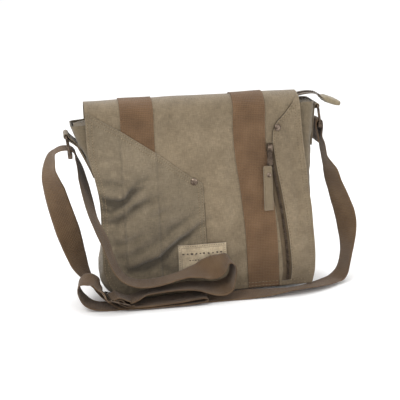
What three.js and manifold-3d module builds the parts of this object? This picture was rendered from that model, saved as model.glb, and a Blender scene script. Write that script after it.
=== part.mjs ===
// Canvas shoulder bag with a fall-over flap, standing on its base with its strap laid round it.
// Millimetres, +Z up. The origin is on the base, under the middle of the bag. The front faces -Y.
import * as THREE from 'three';
import { mergeVertices } from 'three/addons/utils/BufferGeometryUtils.js';
import Module from 'manifold-3d';

const wasm = await Module();
wasm.setup();

// Driving sizes of the pouch
const BASE_WIDTH = 334;
const BASE_DEPTH = 85;
const ROOF_HEIGHT = 288;
const CORNER_RADIUS = 40;
const EDGE_ROUNDING = 8;
const CANVAS = 1.6;
const ROOF_CROWN = 4;
const LEFT_DROOP = 8;
const RIGHT_LIFT = 9;

// Driving sizes of the flap and what is sewn on it
const FLAP_WIDTH = 330;
const FLAP_RISE = 22.5;
const FLAP_AIR = 2.6;
const FLAP_HEM_HEIGHT = 5;
const FLAP_BACK_LENGTH = 31;
const FLAP_LEFT_CORNER = 52;
const FLAP_RIGHT_CORNER = 11;
const DENT_DEPTH = 5;
const WEBBING_WIDTH = 50;
const WEBBING_THICKNESS = 1.5;
const PANEL_THICKNESS = 1.3;
const LABEL_WIDTH = 76;
const LABEL_HEIGHT = 48;
const LABEL_THICKNESS = 0.8;
const RIVET_RADIUS = 5.5;
const RIVET_HEIGHT = 2.4;

// Driving sizes of the upright zip
const ZIP_TAPE_REACH = 8;
const ZIP_TAPE_THICKNESS = 0.7;
const ZIP_TEETH_WIDTH = 5;
const ZIP_TEETH_HEIGHT = 1.6;
const ZIP_PANEL_REACH = 6;
const ZIP_SEAM_GAP = 0.9;
const ZIP_SLIDER_WIDTH = 8;
const ZIP_SLIDER_LENGTH = 15;
const ZIP_SLIDER_HEIGHT = 2.8;
const PULL_WIDTH = 9;
const PULL_LENGTH = 27;
const PULL_THICKNESS = 1.2;
const PULL_TAB_WIDTH = 15;
const PULL_TAB_LENGTH = 70;
const PULL_TAB_THICKNESS = 3;
const PULL_RIVET_RADIUS = 3.6;

// Driving sizes of the zip in the roof
const ROOF_ZIP_WIDTH = 26;
const ROOF_ZIP_THICKNESS = 1.2;
const ROOF_TEETH_WIDTH = 6;
const ROOF_TEETH_HEIGHT = 1.6;
const ROOF_CAP_LENGTH = 30;
const ROOF_CAP_WIDTH = 32;
const ROOF_CAP_THICKNESS = 3;

// Driving sizes of the strap and its metal
const STRAP_WIDTH = 38;
const STRAP_THICKNESS = 2;
const RING_WIRE = 4;
const RING_SIDE_CLEARANCE = 0.8;
const RING_HEIGHT = 29;
const RING_BAR_WIDTH = 7;
const RING_BAR_HEIGHT = 9;
const RING_BAR_OVERHANG = 0.7;
const TAB_THICKNESS = 3;
const TAB_LENGTH = 62;
const SLIDE_LENGTH = 36;
const SLIDE_BAR = 3;
const SLIDE_THICKNESS = 2.4;
const SLIDE_SIDE_CLEARANCE = 1.2;

// Clearances
const GAP = 0.3;
const LOOSE_GAP = 0.5;

// Mesh density
const ACROSS_STEPS = 16;
const STRAP_STEPS = 2;
const CURVE_STEPS = 3;
const DISC_SIDES = 14;

const HALF_BASE = BASE_WIDTH / 2;
const HALF_DEPTH = BASE_DEPTH / 2;
const HALF_FLAP = FLAP_WIDTH / 2;
const FLAP_TOP = ROOF_HEIGHT + FLAP_RISE;

// Colours and finishes
const finish = {
  canvas: { color: 0x8f826c, roughness: 0.95, metalness: 0 },
  webbing: { color: 0x7a5f48, roughness: 0.9, metalness: 0 },
  strap: { color: 0x735d46, roughness: 0.9, metalness: 0 },
  label: { color: 0xd7cdb4, roughness: 0.9, metalness: 0 },
  tape: { color: 0x4a3f33, roughness: 0.95, metalness: 0 },
  metal: { color: 0x3a332d, roughness: 0.4, metalness: 0.9 },
};

// A value between rows of a table, by a smooth curve through the rows. The first column is the place.
function tableValue(table, place, column) {
  const last = table.length - 1;
  const rising = table[last][0] > table[0][0];
  const rows = rising ? table : [...table].reverse();
  if (place <= rows[0][0]) return rows[0][column];
  if (place >= rows[last][0]) return rows[last][column];
  let k = 0;
  while (rows[k + 1][0] < place) k += 1;
  const slope = (i) => {
    const before = rows[Math.max(i - 1, 0)];
    const after = rows[Math.min(i + 1, last)];
    return (after[column] - before[column]) / (after[0] - before[0]);
  };
  const span = rows[k + 1][0] - rows[k][0];
  const s = (place - rows[k][0]) / span;
  const s2 = s * s;
  const s3 = s2 * s;
  return (2 * s3 - 3 * s2 + 1) * rows[k][column]
    + (s3 - 2 * s2 + s) * span * slope(k)
    + (3 * s2 - 2 * s3) * rows[k + 1][column]
    + (s3 - s2) * span * slope(k + 1);
}

function smoothStep(from, to, value) {
  return THREE.MathUtils.smoothstep((value - from) / (to - from), 0, 1);
}

// Closed geometry from points and triangles
function solidFrom(points, triangles) {
  const geometry = new THREE.BufferGeometry();
  const numbers = points.flatMap((p) => [p.x, p.y, p.z]);
  geometry.setAttribute('position', new THREE.Float32BufferAttribute(numbers, 3));
  geometry.setIndex(triangles.flat());
  return geometry;
}

// A sheet with thickness: two grids of points of the same size, joined round their border
function slab(outer, inner) {
  const rows = outer.length;
  const columns = outer[0].length;
  const points = [...outer.flat(), ...inner.flat()];
  const top = (i, j) => i * columns + j;
  const under = (i, j) => rows * columns + i * columns + j;
  const triangles = [];
  const quad = (a, b, c, d) => triangles.push([a, b, c], [a, c, d]);
  for (let i = 0; i < rows - 1; i += 1) {
    for (let j = 0; j < columns - 1; j += 1) {
      quad(top(i, j), top(i, j + 1), top(i + 1, j + 1), top(i + 1, j));
      quad(under(i, j), under(i + 1, j), under(i + 1, j + 1), under(i, j + 1));
    }
  }
  for (let j = 0; j < columns - 1; j += 1) {
    quad(top(0, j + 1), top(0, j), under(0, j), under(0, j + 1));
    quad(top(rows - 1, j), top(rows - 1, j + 1), under(rows - 1, j + 1), under(rows - 1, j));
  }
  for (let i = 0; i < rows - 1; i += 1) {
    quad(top(i, 0), top(i + 1, 0), under(i + 1, 0), under(i, 0));
    quad(top(i + 1, columns - 1), top(i, columns - 1), under(i, columns - 1), under(i + 1, columns - 1));
  }
  return solidFrom(points, triangles);
}

// A loft through closed loops of the same number of points, with a flat fan at each end
function closedLoft(loops) {
  const count = loops[0].length;
  const points = loops.flat();
  const triangles = [];
  for (let k = 0; k < loops.length - 1; k += 1) {
    for (let j = 0; j < count; j += 1) {
      const next = (j + 1) % count;
      const a = k * count + j;
      const b = k * count + next;
      const c = (k + 1) * count + next;
      const d = (k + 1) * count + j;
      triangles.push([a, b, c], [a, c, d]);
    }
  }
  const middle = (loop) => loop.reduce((sum, p) => sum.add(p), new THREE.Vector3()).divideScalar(count);
  const first = points.push(middle(loops[0])) - 1;
  const last = points.push(middle(loops[loops.length - 1])) - 1;
  const start = (loops.length - 1) * count;
  for (let j = 0; j < count; j += 1) {
    const next = (j + 1) % count;
    triangles.push([first, next, j], [last, start + j, start + next]);
  }
  return solidFrom(points, triangles);
}

// A closed ring of round wire along a closed list of points, with one normal direction for its plane
function closedWire(path, radius, planeNormal, sides) {
  const count = path.length;
  const points = [];
  const triangles = [];
  path.forEach((centre, k) => {
    const before = path[(k + count - 1) % count];
    const after = path[(k + 1) % count];
    const along = after.clone().sub(before).normalize();
    const outward = along.clone().cross(planeNormal);
    for (let s = 0; s < sides; s += 1) {
      const angle = (s / sides) * 2 * Math.PI;
      points.push(centre.clone()
        .addScaledVector(outward, radius * Math.cos(angle))
        .addScaledVector(planeNormal, radius * Math.sin(angle)));
    }
  });
  for (let k = 0; k < count; k += 1) {
    for (let s = 0; s < sides; s += 1) {
      const a = k * sides + s;
      const b = k * sides + ((s + 1) % sides);
      const c = ((k + 1) % count) * sides + ((s + 1) % sides);
      const d = ((k + 1) % count) * sides + s;
      triangles.push([a, b, c], [a, c, d]);
    }
  }
  return solidFrom(points, triangles);
}

// Booleans on closed geometry
function toSolid(geometry) {
  const bare = geometry.clone();
  bare.deleteAttribute('normal');
  bare.deleteAttribute('uv');
  const merged = outward(mergeVertices(bare, 1e-4));
  const solid = new wasm.Manifold(new wasm.Mesh({
    numProp: 3,
    vertProperties: new Float32Array(merged.attributes.position.array),
    triVerts: new Uint32Array(merged.index.array),
  }));
  return solid;
}

function toGeometry(solid) {
  const mesh = solid.getMesh();
  const geometry = new THREE.BufferGeometry();
  geometry.setAttribute('position', new THREE.Float32BufferAttribute(mesh.vertProperties, 3));
  geometry.setIndex(Array.from(mesh.triVerts));
  return geometry;
}

// A prism from an outline in the front view, running along Y between two depths
function frontPrism(outline, nearY, farY) {
  const shape = outline instanceof THREE.Shape ? outline : new THREE.Shape(outline);
  const depth = farY - nearY;
  const prism = new THREE.ExtrudeGeometry(shape, { depth, bevelEnabled: false, curveSegments: CURVE_STEPS });
  prism.rotateX(Math.PI / 2);
  prism.translate(0, farY, 0);
  return prism;
}

const flat = (x, z) => new THREE.Vector2(x, z);

// The pouch. Columns: height, left side and right side as shares of half the base width,
// half depth as a share of half the base depth, rounding of the plan corners as a share of the same.
const POUCH_SECTIONS = [
  [0.0, -1.0, 1.0, 1.0, 0.42],
  [0.14, -1.015, 1.015, 1.0, 0.42],
  [0.28, -0.975, 1.015, 0.97, 0.4],
  [0.42, -0.955, 1.015, 0.9, 0.38],
  [0.56, -0.965, 1.02, 0.83, 0.34],
  [0.68, -1.0, 1.022, 0.77, 0.3],
  [0.79, -1.07, 1.03, 0.71, 0.26],
  [0.9, -1.15, 1.045, 0.655, 0.22],
  [1.0, -1.205, 1.06, 0.61, 0.2],
];

function cornerInset(radius, height) {
  if (height >= radius) return 0;
  return radius - Math.sqrt(radius * radius - (radius - height) ** 2);
}

function pouchHalfDepth(height) {
  return HALF_DEPTH * tableValue(POUCH_SECTIONS, height / ROOF_HEIGHT, 3);
}

function pouchSide(height, side) {
  const column = side < 0 ? 1 : 2;
  const full = HALF_BASE * tableValue(POUCH_SECTIONS, height / ROOF_HEIGHT, column);
  return full - side * cornerInset(CORNER_RADIUS, height);
}

// How far the top rim is below or above its nominal height along the bag
function rimShift(x) {
  const droop = LEFT_DROOP * smoothStep(-0.7 * HALF_BASE, -1.2 * HALF_BASE, x);
  const lift = RIGHT_LIFT * smoothStep(0.3 * HALF_BASE, HALF_BASE, x);
  return lift - droop;
}

function withRimShift(point) {
  const share = point.z / ROOF_HEIGHT;
  point.z += rimShift(point.x) * share ** 4;
  return point;
}

// One plan section of the pouch at a height, a wall's thickness inside its outer face
function pouchLoop(height, inset, raise) {
  const left = pouchSide(height, -1) + inset;
  const right = pouchSide(height, 1) - inset;
  const half = pouchHalfDepth(height) - cornerInset(EDGE_ROUNDING, height) - inset;
  const cornerShare = tableValue(POUCH_SECTIONS, height / ROOF_HEIGHT, 4);
  const corner = Math.max(HALF_DEPTH * cornerShare - inset, 2);
  const loop = [];
  const addLine = (x0, y0, x1, y1, steps) => {
    for (let k = 0; k < steps; k += 1) {
      const s = k / steps;
      loop.push(new THREE.Vector3(x0 + (x1 - x0) * s, y0 + (y1 - y0) * s, 0));
    }
  };
  const addArc = (cx, cy, start, steps) => {
    for (let k = 0; k < steps; k += 1) {
      const angle = start + (k / steps) * (Math.PI / 2);
      loop.push(new THREE.Vector3(cx + corner * Math.cos(angle), cy + corner * Math.sin(angle), 0));
    }
  };
  addLine(left + corner, -half, right - corner, -half, 8);
  addArc(right - corner, -half + corner, -Math.PI / 2, 3);
  addLine(right, -half + corner, right, half - corner, 2);
  addArc(right - corner, half - corner, 0, 3);
  addLine(right - corner, half, left + corner, half, 8);
  addArc(left + corner, half - corner, Math.PI / 2, 3);
  addLine(left, half - corner, left, -half + corner, 2);
  addArc(left + corner, -half + corner, Math.PI, 3);
  const z = raise + height * (1 - raise / ROOF_HEIGHT);
  loop.forEach((p) => withRimShift(p.setZ(z)));
  return loop;
}

const POUCH_ROWS = [0, 0.004, 0.013, 0.03, 0.06, 0.1, 0.15, 0.25, 0.37, 0.5, 0.62, 0.72, 0.81, 0.9, 1];

function buildPouch() {
  const heights = POUCH_ROWS.map((share) => share * ROOF_HEIGHT);
  const outer = heights.map((height) => pouchLoop(height, 0, 0));
  const inner = heights.map((height) => pouchLoop(height, CANVAS, CANVAS));
  return closedLoft([...outer, ...inner.reverse()]);
}

// The roof: a canvas facing inside the rim with a slot for its zip
const ROOF_SLOT_WIDTH = 9;
const ROOF_DEPTH_BELOW_RIM = 1.5;
const ROOF_COLUMNS = 10;

function roofHeightAt(x, share) {
  const height = ROOF_HEIGHT - ROOF_DEPTH_BELOW_RIM - CANVAS;
  return height + rimShift(x) + ROOF_CROWN * (1 - share * share);
}

function buildRoof() {
  const inset = CANVAS + GAP;
  const left = pouchSide(ROOF_HEIGHT - LEFT_DROOP, -1) + inset + 1;
  const right = pouchSide(ROOF_HEIGHT - LEFT_DROOP, 1) - inset - 1;
  const half = pouchHalfDepth(ROOF_HEIGHT - 4) - inset - 0.5;
  const endHalf = half - HALF_DEPTH * POUCH_SECTIONS[8][4];
  const shares = [-1, -0.6, -0.17, 0.17, 0.6, 1];
  const grid = (lift) => {
    const rows = [];
    for (let i = 0; i <= ROOF_COLUMNS; i += 1) {
      const s = i / ROOF_COLUMNS;
      const x = left + (right - left) * s;
      const nearEnd = Math.max(smoothStep(left + 9, left, x), smoothStep(right - 9, right, x));
      const reach = half + (endHalf - half) * nearEnd;
      rows.push(shares.map((share) => new THREE.Vector3(x, reach * share, roofHeightAt(x, share) + lift)));
    }
    return rows;
  };
  const sheet = toSolid(slab(grid(0), grid(-CANVAS)));
  const slotLength = (right - left) * 0.86;
  const slot = new THREE.BoxGeometry(slotLength, ROOF_SLOT_WIDTH, ROOF_HEIGHT);
  slot.translate((left + right) / 2, 0, ROOF_HEIGHT);
  return toGeometry(sheet.subtract(toSolid(slot)));
}

// The flap's side edges as the front view shows them. Columns: height as a share of the flap's top,
// left edge and right edge as shares of half its width.
const FLAP_EDGES = [
  [0.0, -1.0, 1.0],
  [0.03, -1.003, 1.02],
  [0.09, -1.006, 1.045],
  [0.19, -1.006, 1.05],
  [0.32, -1.0, 1.033],
  [0.43, -0.995, 1.018],
  [0.53, -0.998, 0.994],
  [0.63, -1.027, 0.975],
  [0.71, -1.06, 0.957],
  [0.78, -1.08, 0.945],
  [0.89, -1.083, 0.93],
  [1.0, -1.082, 0.918],
];

// The fold over the roof. Columns: depth as a share of the roof's half depth, rise above the roof
// as a share of the flap's rise.
const FLAP_FOLD = [
  [1.1, 0.12],
  [0.93, 0.58],
  [0.52, 0.9],
  [-0.06, 1.0],
  [-0.58, 0.88],
  [-1.0, 0.5],
  [-1.16, -0.05],
];

// Dents and swellings of the flap. Columns: place across as a share of half its width, place up as a
// share of its top, long and short reach as shares of half its width, slope in degrees, depth as a
// share of the dent depth, where a minus sign is a hollow.
const FLAP_DENTS = [
  [-0.9, 0.6, 0.2, 0.07, -10, -0.8],
  [-0.85, 0.5, 0.18, 0.07, -12, -0.7],
  [-0.42, 0.32, 0.42, 0.08, 38, -0.8],
  [-0.42, 0.19, 0.4, 0.07, 5, -0.5],
  [-0.6, 0.42, 0.25, 0.12, 30, 0.7],
  [0.1, 0.45, 0.5, 0.4, 0, 0.5],
  [0.75, 0.3, 0.2, 0.4, 0, 0.6],
  [-0.2, 0.75, 0.5, 0.15, 10, 0.35],
];

function flapDent(x, z) {
  let sum = 0;
  for (const [across, up, long, short, slope, depth] of FLAP_DENTS) {
    const angle = THREE.MathUtils.degToRad(slope);
    const dx = x - across * HALF_FLAP;
    const dz = z - up * FLAP_TOP;
    const u = (dx * Math.cos(angle) + dz * Math.sin(angle)) / (long * HALF_FLAP);
    const v = (dz * Math.cos(angle) - dx * Math.sin(angle)) / (short * HALF_FLAP);
    sum += depth * DENT_DEPTH * Math.exp(-u * u - v * v);
  }
  return sum;
}

// The flap's profile from the hem on the back, over the roof, to the hem at the front
const FRONT_ROWS = [0.94, 0.87, 0.8, 0.72, 0.64, 0.56, 0.48, 0.4, 0.32, 0.24, 0.17, 0.1];

function flapProfile() {
  const roofHalf = pouchHalfDepth(ROOF_HEIGHT);
  const rows = [];
  for (const share of [1, 0.5, 0.1]) {
    const z = ROOF_HEIGHT - FLAP_BACK_LENGTH * share;
    rows.push([pouchHalfDepth(z) + LOOSE_GAP, z]);
  }
  for (const [depth, rise] of FLAP_FOLD) rows.push([depth * roofHalf, ROOF_HEIGHT + rise * FLAP_RISE]);
  const frontTop = ROOF_HEIGHT;
  for (const share of FRONT_ROWS) {
    const z = FLAP_HEM_HEIGHT + (frontTop - FLAP_HEM_HEIGHT) * share;
    rows.push([-pouchHalfDepth(z) - FLAP_AIR, z]);
  }
  const hemDepth = -pouchHalfDepth(0.1 * ROOF_HEIGHT) - FLAP_AIR;
  rows.push([hemDepth, 0.5 * (FLAP_HEM_HEIGHT + 0.1 * ROOF_HEIGHT)]);
  rows.push([hemDepth, FLAP_HEM_HEIGHT]);
  return rows;
}

const PROFILE = flapProfile();
const FOLD_TOP_ROW = PROFILE.findIndex(([, z]) => z > FLAP_TOP - 0.5);

// A point of the flap's inner face: across runs from -1 at the left edge to 1 at the right one
function flapPoint(row, across) {
  const low = Math.min(Math.max(Math.floor(row), 0), PROFILE.length - 2);
  const s = row - low;
  const [y0, z0] = PROFILE[low];
  const [y1, z1] = PROFILE[low + 1];
  const y = y0 + (y1 - y0) * s;
  const z = z0 + (z1 - z0) * s;
  const left = HALF_FLAP * tableValue(FLAP_EDGES, z / FLAP_TOP, 1);
  const right = HALF_FLAP * tableValue(FLAP_EDGES, z / FLAP_TOP, 2);
  const x = left + (right - left) * (across + 1) / 2;
  const onFront = row > FOLD_TOP_ROW ? smoothStep(FLAP_TOP, FLAP_TOP - 1.5 * FLAP_RISE, z) : 0;
  return new THREE.Vector3(x, y - Math.max(flapDent(x, z), -FLAP_AIR) * onFront, z);
}

function flapNormal(row, across) {
  const step = 0.5;
  const alongRow = flapPoint(Math.min(row + step, PROFILE.length - 1), across)
    .sub(flapPoint(Math.max(row - step, 0), across));
  const rightward = flapPoint(row, Math.min(across + 0.03, 1));
  const alongAcross = rightward.sub(flapPoint(row, Math.max(across - 0.03, -1)));
  return alongRow.cross(alongAcross).normalize();
}

function flapGrid(lift) {
  return PROFILE.map((_, row) => {
    const points = [];
    for (let j = 0; j <= ACROSS_STEPS; j += 1) {
      const across = (2 * j) / ACROSS_STEPS - 1;
      points.push(flapPoint(row, across).addScaledVector(flapNormal(row, across), lift));
    }
    return points;
  });
}

// A layer of the flap between two lifts from its inner face, cut to an outline in the front view
const FRONT_NEAR = -2 * BASE_DEPTH;
function flapLayer(lift, thickness, outline, farY) {
  const layer = toSolid(slab(flapGrid(lift + thickness), flapGrid(lift)));
  return toGeometry(layer.intersect(toSolid(frontPrism(outline, FRONT_NEAR, farY))));
}

// Lifts of the layers on the flap, from its inner face
const WEBBING_LIFT = CANVAS + GAP;
const PANEL_LIFT = WEBBING_LIFT + WEBBING_THICKNESS + GAP;
const LABEL_LIFT = PANEL_LIFT + PANEL_THICKNESS + GAP;
const TAPE_LIFT = CANVAS + GAP;
const TEETH_LIFT = TAPE_LIFT + ZIP_TAPE_THICKNESS + GAP;
const SLIDER_LIFT = TEETH_LIFT + ZIP_TEETH_HEIGHT + GAP;
const PULL_LIFT = SLIDER_LIFT + ZIP_SLIDER_HEIGHT + GAP;
const PULL_TAB_LIFT = PULL_LIFT + (PULL_THICKNESS - PULL_TAB_THICKNESS) / 2;

const FLAP_FAR = BASE_DEPTH;
const FRONT_FAR = -0.1 * BASE_DEPTH;

// The flap's outline: square at the top, with its bottom corners rounded
function flapOutline() {
  const side = 1.3 * HALF_FLAP;
  const top = FLAP_TOP + FLAP_RISE;
  const bottom = FLAP_HEM_HEIGHT - 2;
  const leftEdge = HALF_FLAP * FLAP_EDGES[1][1] - 1;
  const rightEdge = HALF_FLAP * FLAP_EDGES[2][2] - 1;
  const shape = new THREE.Shape();
  shape.moveTo(-side, top);
  shape.lineTo(-side, bottom + FLAP_LEFT_CORNER);
  shape.lineTo(leftEdge, bottom + FLAP_LEFT_CORNER);
  for (let k = 1; k <= 8; k += 1) {
    const angle = Math.PI + (k / 8) * (Math.PI / 2);
    const centreX = leftEdge + FLAP_LEFT_CORNER;
    const centreZ = bottom + FLAP_LEFT_CORNER;
    shape.lineTo(centreX + FLAP_LEFT_CORNER * Math.cos(angle), centreZ + FLAP_LEFT_CORNER * Math.sin(angle));
  }
  shape.lineTo(rightEdge - FLAP_RIGHT_CORNER, bottom);
  shape.absarc(rightEdge - FLAP_RIGHT_CORNER, bottom + FLAP_RIGHT_CORNER, FLAP_RIGHT_CORNER, -Math.PI / 2, 0);
  shape.lineTo(side, bottom + FLAP_RIGHT_CORNER);
  shape.lineTo(side, top);
  return shape;
}

// Centre lines on the flap. Columns: height as a share of the flap's top, place as a share of half its width.
const LEFT_WEBBING_LINE = [[0, -0.605], [0.45, -0.615], [0.85, -0.615], [1.1, -0.612]];
const RIGHT_WEBBING_LINE = [[0, 0.536], [0.32, 0.515], [0.53, 0.48], [0.785, 0.43], [1.1, 0.442]];
const ZIP_LINE = [
  [0.045, 0.765],
  [0.11, 0.775],
  [0.245, 0.755],
  [0.38, 0.727],
  [0.51, 0.69],
  [0.645, 0.645],
  [0.765, 0.614],
];

function lineAt(line, z) {
  return HALF_FLAP * tableValue(line, z / FLAP_TOP, 1);
}

// A band along a centre line between two heights, with its reach to the left and to the right
function bandOutline(bottom, top, steps, leftAt, rightAt) {
  const left = [];
  const right = [];
  for (let k = 0; k <= steps; k += 1) {
    const z = bottom + ((top - bottom) * k) / steps;
    left.push(flat(leftAt(z), z));
    right.push(flat(rightAt(z), z));
  }
  return [...left.reverse(), ...right];
}

function webbingOutline(line) {
  const half = WEBBING_WIDTH / 2;
  const bottom = FLAP_HEM_HEIGHT + 1;
  const middle = (z) => lineAt(line, z);
  return bandOutline(bottom, FLAP_TOP + FLAP_RISE, 6, (z) => middle(z) - half, (z) => middle(z) + half);
}

function rightWebbingEdge(z) {
  return lineAt(RIGHT_WEBBING_LINE, z) + WEBBING_WIDTH / 2;
}

const ZIP_BOTTOM = ZIP_LINE[0][0] * FLAP_TOP;
const ZIP_TOP = ZIP_LINE[6][0] * FLAP_TOP;

function zipTapeOutline() {
  const left = (z) => Math.max(lineAt(ZIP_LINE, z) - ZIP_TAPE_REACH, rightWebbingEdge(z) + ZIP_SEAM_GAP);
  return bandOutline(ZIP_BOTTOM, ZIP_TOP, 10, left, (z) => lineAt(ZIP_LINE, z) + ZIP_TAPE_REACH);
}

function zipTeethOutline() {
  const half = ZIP_TEETH_WIDTH / 2;
  const middle = (z) => lineAt(ZIP_LINE, z);
  return bandOutline(ZIP_BOTTOM + 2, ZIP_TOP - 1, 8, (z) => middle(z) - half, (z) => middle(z) + half);
}

// The slanted pocket on the left. Columns: place across and height as shares.
const POCKET_OUTLINE = [
  [-1.3, 1.03], [-1.055, 0.96], [-0.76, 0.865], [-0.45, 0.75], [-0.13, 0.615], [-0.03, 0.585],
  [-0.015, 0.28], [-0.02, 0.028], [-0.68, 0.03], [-0.87, 0.075], [-0.96, 0.16], [-1.3, 0.2],
];

// The top edge of the panel right of the zip. Columns: place across and height as shares.
const RIGHT_PANEL_TOP = [[1.3, 1.06], [0.9, 0.985], [0.69, 0.862], [0.655, 0.82]];

function sharesToPoints(rows) {
  return rows.map(([across, up]) => flat(across * HALF_FLAP, up * FLAP_TOP));
}

function rightPanelOutline() {
  const edge = [];
  for (let k = 8; k >= 0; k -= 1) {
    const z = ZIP_BOTTOM + ((ZIP_TOP - ZIP_BOTTOM) * k) / 8;
    edge.push(flat(lineAt(ZIP_LINE, z) + ZIP_PANEL_REACH, z));
  }
  const bottom = FLAP_HEM_HEIGHT + 1.5;
  edge.push(flat(rightWebbingEdge(bottom) + LOOSE_GAP, ZIP_BOTTOM - 1));
  edge.push(flat(rightWebbingEdge(bottom) + LOOSE_GAP, bottom));
  edge.push(flat(HALF_FLAP - FLAP_RIGHT_CORNER, bottom));
  edge.push(flat(HALF_FLAP * 1.03, bottom + FLAP_RIGHT_CORNER));
  edge.push(flat(HALF_FLAP * 1.3, bottom + FLAP_RIGHT_CORNER));
  return [...sharesToPoints(RIGHT_PANEL_TOP), ...edge];
}

function roundedBox(cx, cz, width, height, radius) {
  const x0 = cx - width / 2;
  const z0 = cz - height / 2;
  const shape = new THREE.Shape();
  shape.moveTo(x0 + radius, z0);
  shape.lineTo(x0 + width - radius, z0);
  shape.absarc(x0 + width - radius, z0 + radius, radius, -Math.PI / 2, 0);
  shape.lineTo(x0 + width, z0 + height - radius);
  shape.absarc(x0 + width - radius, z0 + height - radius, radius, 0, Math.PI / 2);
  shape.lineTo(x0 + radius, z0 + height);
  shape.absarc(x0 + radius, z0 + height - radius, radius, Math.PI / 2, Math.PI);
  shape.lineTo(x0, z0 + radius);
  shape.absarc(x0 + radius, z0 + radius, radius, Math.PI, 1.5 * Math.PI);
  return shape;
}

// Places on the flap that the small pieces share
const LABEL_PLACE = flat(-0.06 * HALF_FLAP, 0.2 * FLAP_TOP);
const RIVET_LEFT_PLACE = flat(-0.112 * HALF_FLAP, 0.597 * FLAP_TOP);
const RIVET_RIGHT_PLACE = flat(0.7 * HALF_FLAP, 0.84 * FLAP_TOP);
const ZIP_SLIDER_HEIGHT_PLACE = ZIP_TOP - 0.6 * ZIP_SLIDER_LENGTH;
const ZIP_SLIDER_PLACE = flat(lineAt(ZIP_LINE, ZIP_SLIDER_HEIGHT_PLACE), ZIP_SLIDER_HEIGHT_PLACE);
const PULL_TOP = ZIP_SLIDER_PLACE.y + 0.1 * ZIP_SLIDER_LENGTH;
const PULL_PLACE = flat(ZIP_SLIDER_PLACE.x - 1.5, PULL_TOP - PULL_LENGTH / 2);
const PULL_TAB_PLACE = flat(PULL_PLACE.x - 4, PULL_PLACE.y - (PULL_LENGTH + PULL_TAB_LENGTH) / 2 - GAP);
const PULL_RIVET_PLACE = flat(PULL_TAB_PLACE.x + 1.5, PULL_TAB_PLACE.y + 0.3 * PULL_TAB_LENGTH);

// The row and the place across of a point that the front view shows on the flap
function findOnFlap(place) {
  let row = PROFILE.length - 1;
  while (row > FOLD_TOP_ROW + 1 && PROFILE[row][1] < place.y) row -= 1;
  const s = (place.y - PROFILE[row][1]) / (PROFILE[row + 1]?.[1] - PROFILE[row][1] || 1);
  const at = Math.min(row + s, PROFILE.length - 1);
  const left = HALF_FLAP * tableValue(FLAP_EDGES, place.y / FLAP_TOP, 1);
  const right = HALF_FLAP * tableValue(FLAP_EDGES, place.y / FLAP_TOP, 2);
  return [at, (2 * (place.x - left)) / (right - left) - 1];
}

// A dome's rings. Columns: reach as a share of its radius, rise as a share of its height.
const RIVET_RINGS = [[1, 0], [1, 0.25], [0.86, 0.62], [0.5, 0.92]];
const RIVET_SIDES = 12;

// A low dome whose flat foot lies on a layer of the flap
function rivet(place, radius, height, lift) {
  const rings = RIVET_RINGS.map(([reach, rise]) => {
    const ring = [];
    for (let k = 0; k < RIVET_SIDES; k += 1) {
      const angle = (k / RIVET_SIDES) * 2 * Math.PI;
      const out = reach * radius;
      ring.push(new THREE.Vector3(out * Math.cos(angle), out * Math.sin(angle), rise * height));
    }
    return ring;
  });
  const [row, across] = findOnFlap(place);
  const normal = flapNormal(row, across);
  const foot = flapPoint(row, across).addScaledVector(normal, lift);
  const dome = closedLoft(rings);
  dome.applyQuaternion(new THREE.Quaternion().setFromUnitVectors(new THREE.Vector3(0, 0, 1), normal));
  dome.translate(foot.x, foot.y, foot.z);
  return dome;
}

// The zip in the roof. It lies on the roof and lifts over the rim at the right. Columns: place along as a
// share of half the base width, rise above the roof as a share of the flap's rise.
const ROOF_ZIP_LINE = [
  [-0.86, 0.03], [-0.7, 0.06], [-0.55, 0.03], [-0.3, 0.01], [0.2, 0.01], [0.5, 0.04], [0.72, 0.14],
  [0.88, 0.26], [1.0, 0.38], [1.08, 0.36], [1.15, 0.06],
];

function ribbonAlong(points, width, lift, thickness) {
  const half = width / 2;
  const row = (p, k) => {
    const before = points[Math.max(k - 1, 0)];
    const after = points[Math.min(k + 1, points.length - 1)];
    const along = after.clone().sub(before).normalize();
    return new THREE.Vector3(-along.z, 0, along.x);
  };
  const grid = (offset) => points.map((p, k) => [half, -half].map((y) => p.clone()
    .addScaledVector(row(p, k), offset).add(new THREE.Vector3(0, y, 0))));
  return slab(grid(lift), grid(lift + thickness));
}

function roofZipPoint([along, rise]) {
  const x = along * HALF_BASE;
  return new THREE.Vector3(x, 0, roofHeightAt(x, 0) + GAP + rise * FLAP_RISE);
}

function roofZipPoints() {
  const curve = new THREE.CatmullRomCurve3(ROOF_ZIP_LINE.map(roofZipPoint), false, 'centripetal');
  return curve.getPoints(18);
}

const ROOF_ZIP_END = roofZipPoint(ROOF_ZIP_LINE[ROOF_ZIP_LINE.length - 1]);

function buildRoofCap() {
  const direction = new THREE.Vector3(0.93, 0, -0.36).normalize();
  const start = ROOF_ZIP_END.clone().addScaledVector(direction, GAP + 1);
  const points = [0, 0.5, 1].map((s) => start.clone().addScaledVector(direction, s * ROOF_CAP_LENGTH));
  return ribbonAlong(points, ROOF_CAP_WIDTH, -ROOF_CAP_THICKNESS / 2, ROOF_CAP_THICKNESS);
}

// Rings and the sewn tabs that hold them, in planes across the bag's ends
const RING_INNER_WIDTH = STRAP_WIDTH + 2 * RING_SIDE_CLEARANCE;
const TAB_WIDTH = RING_INNER_WIDTH - 2 * RING_SIDE_CLEARANCE - 4;
const RING_LEAN = 0.14;

function gussetX(height, side) {
  const point = new THREE.Vector3(pouchSide(height, side), 0, height);
  return withRimShift(point);
}

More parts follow.
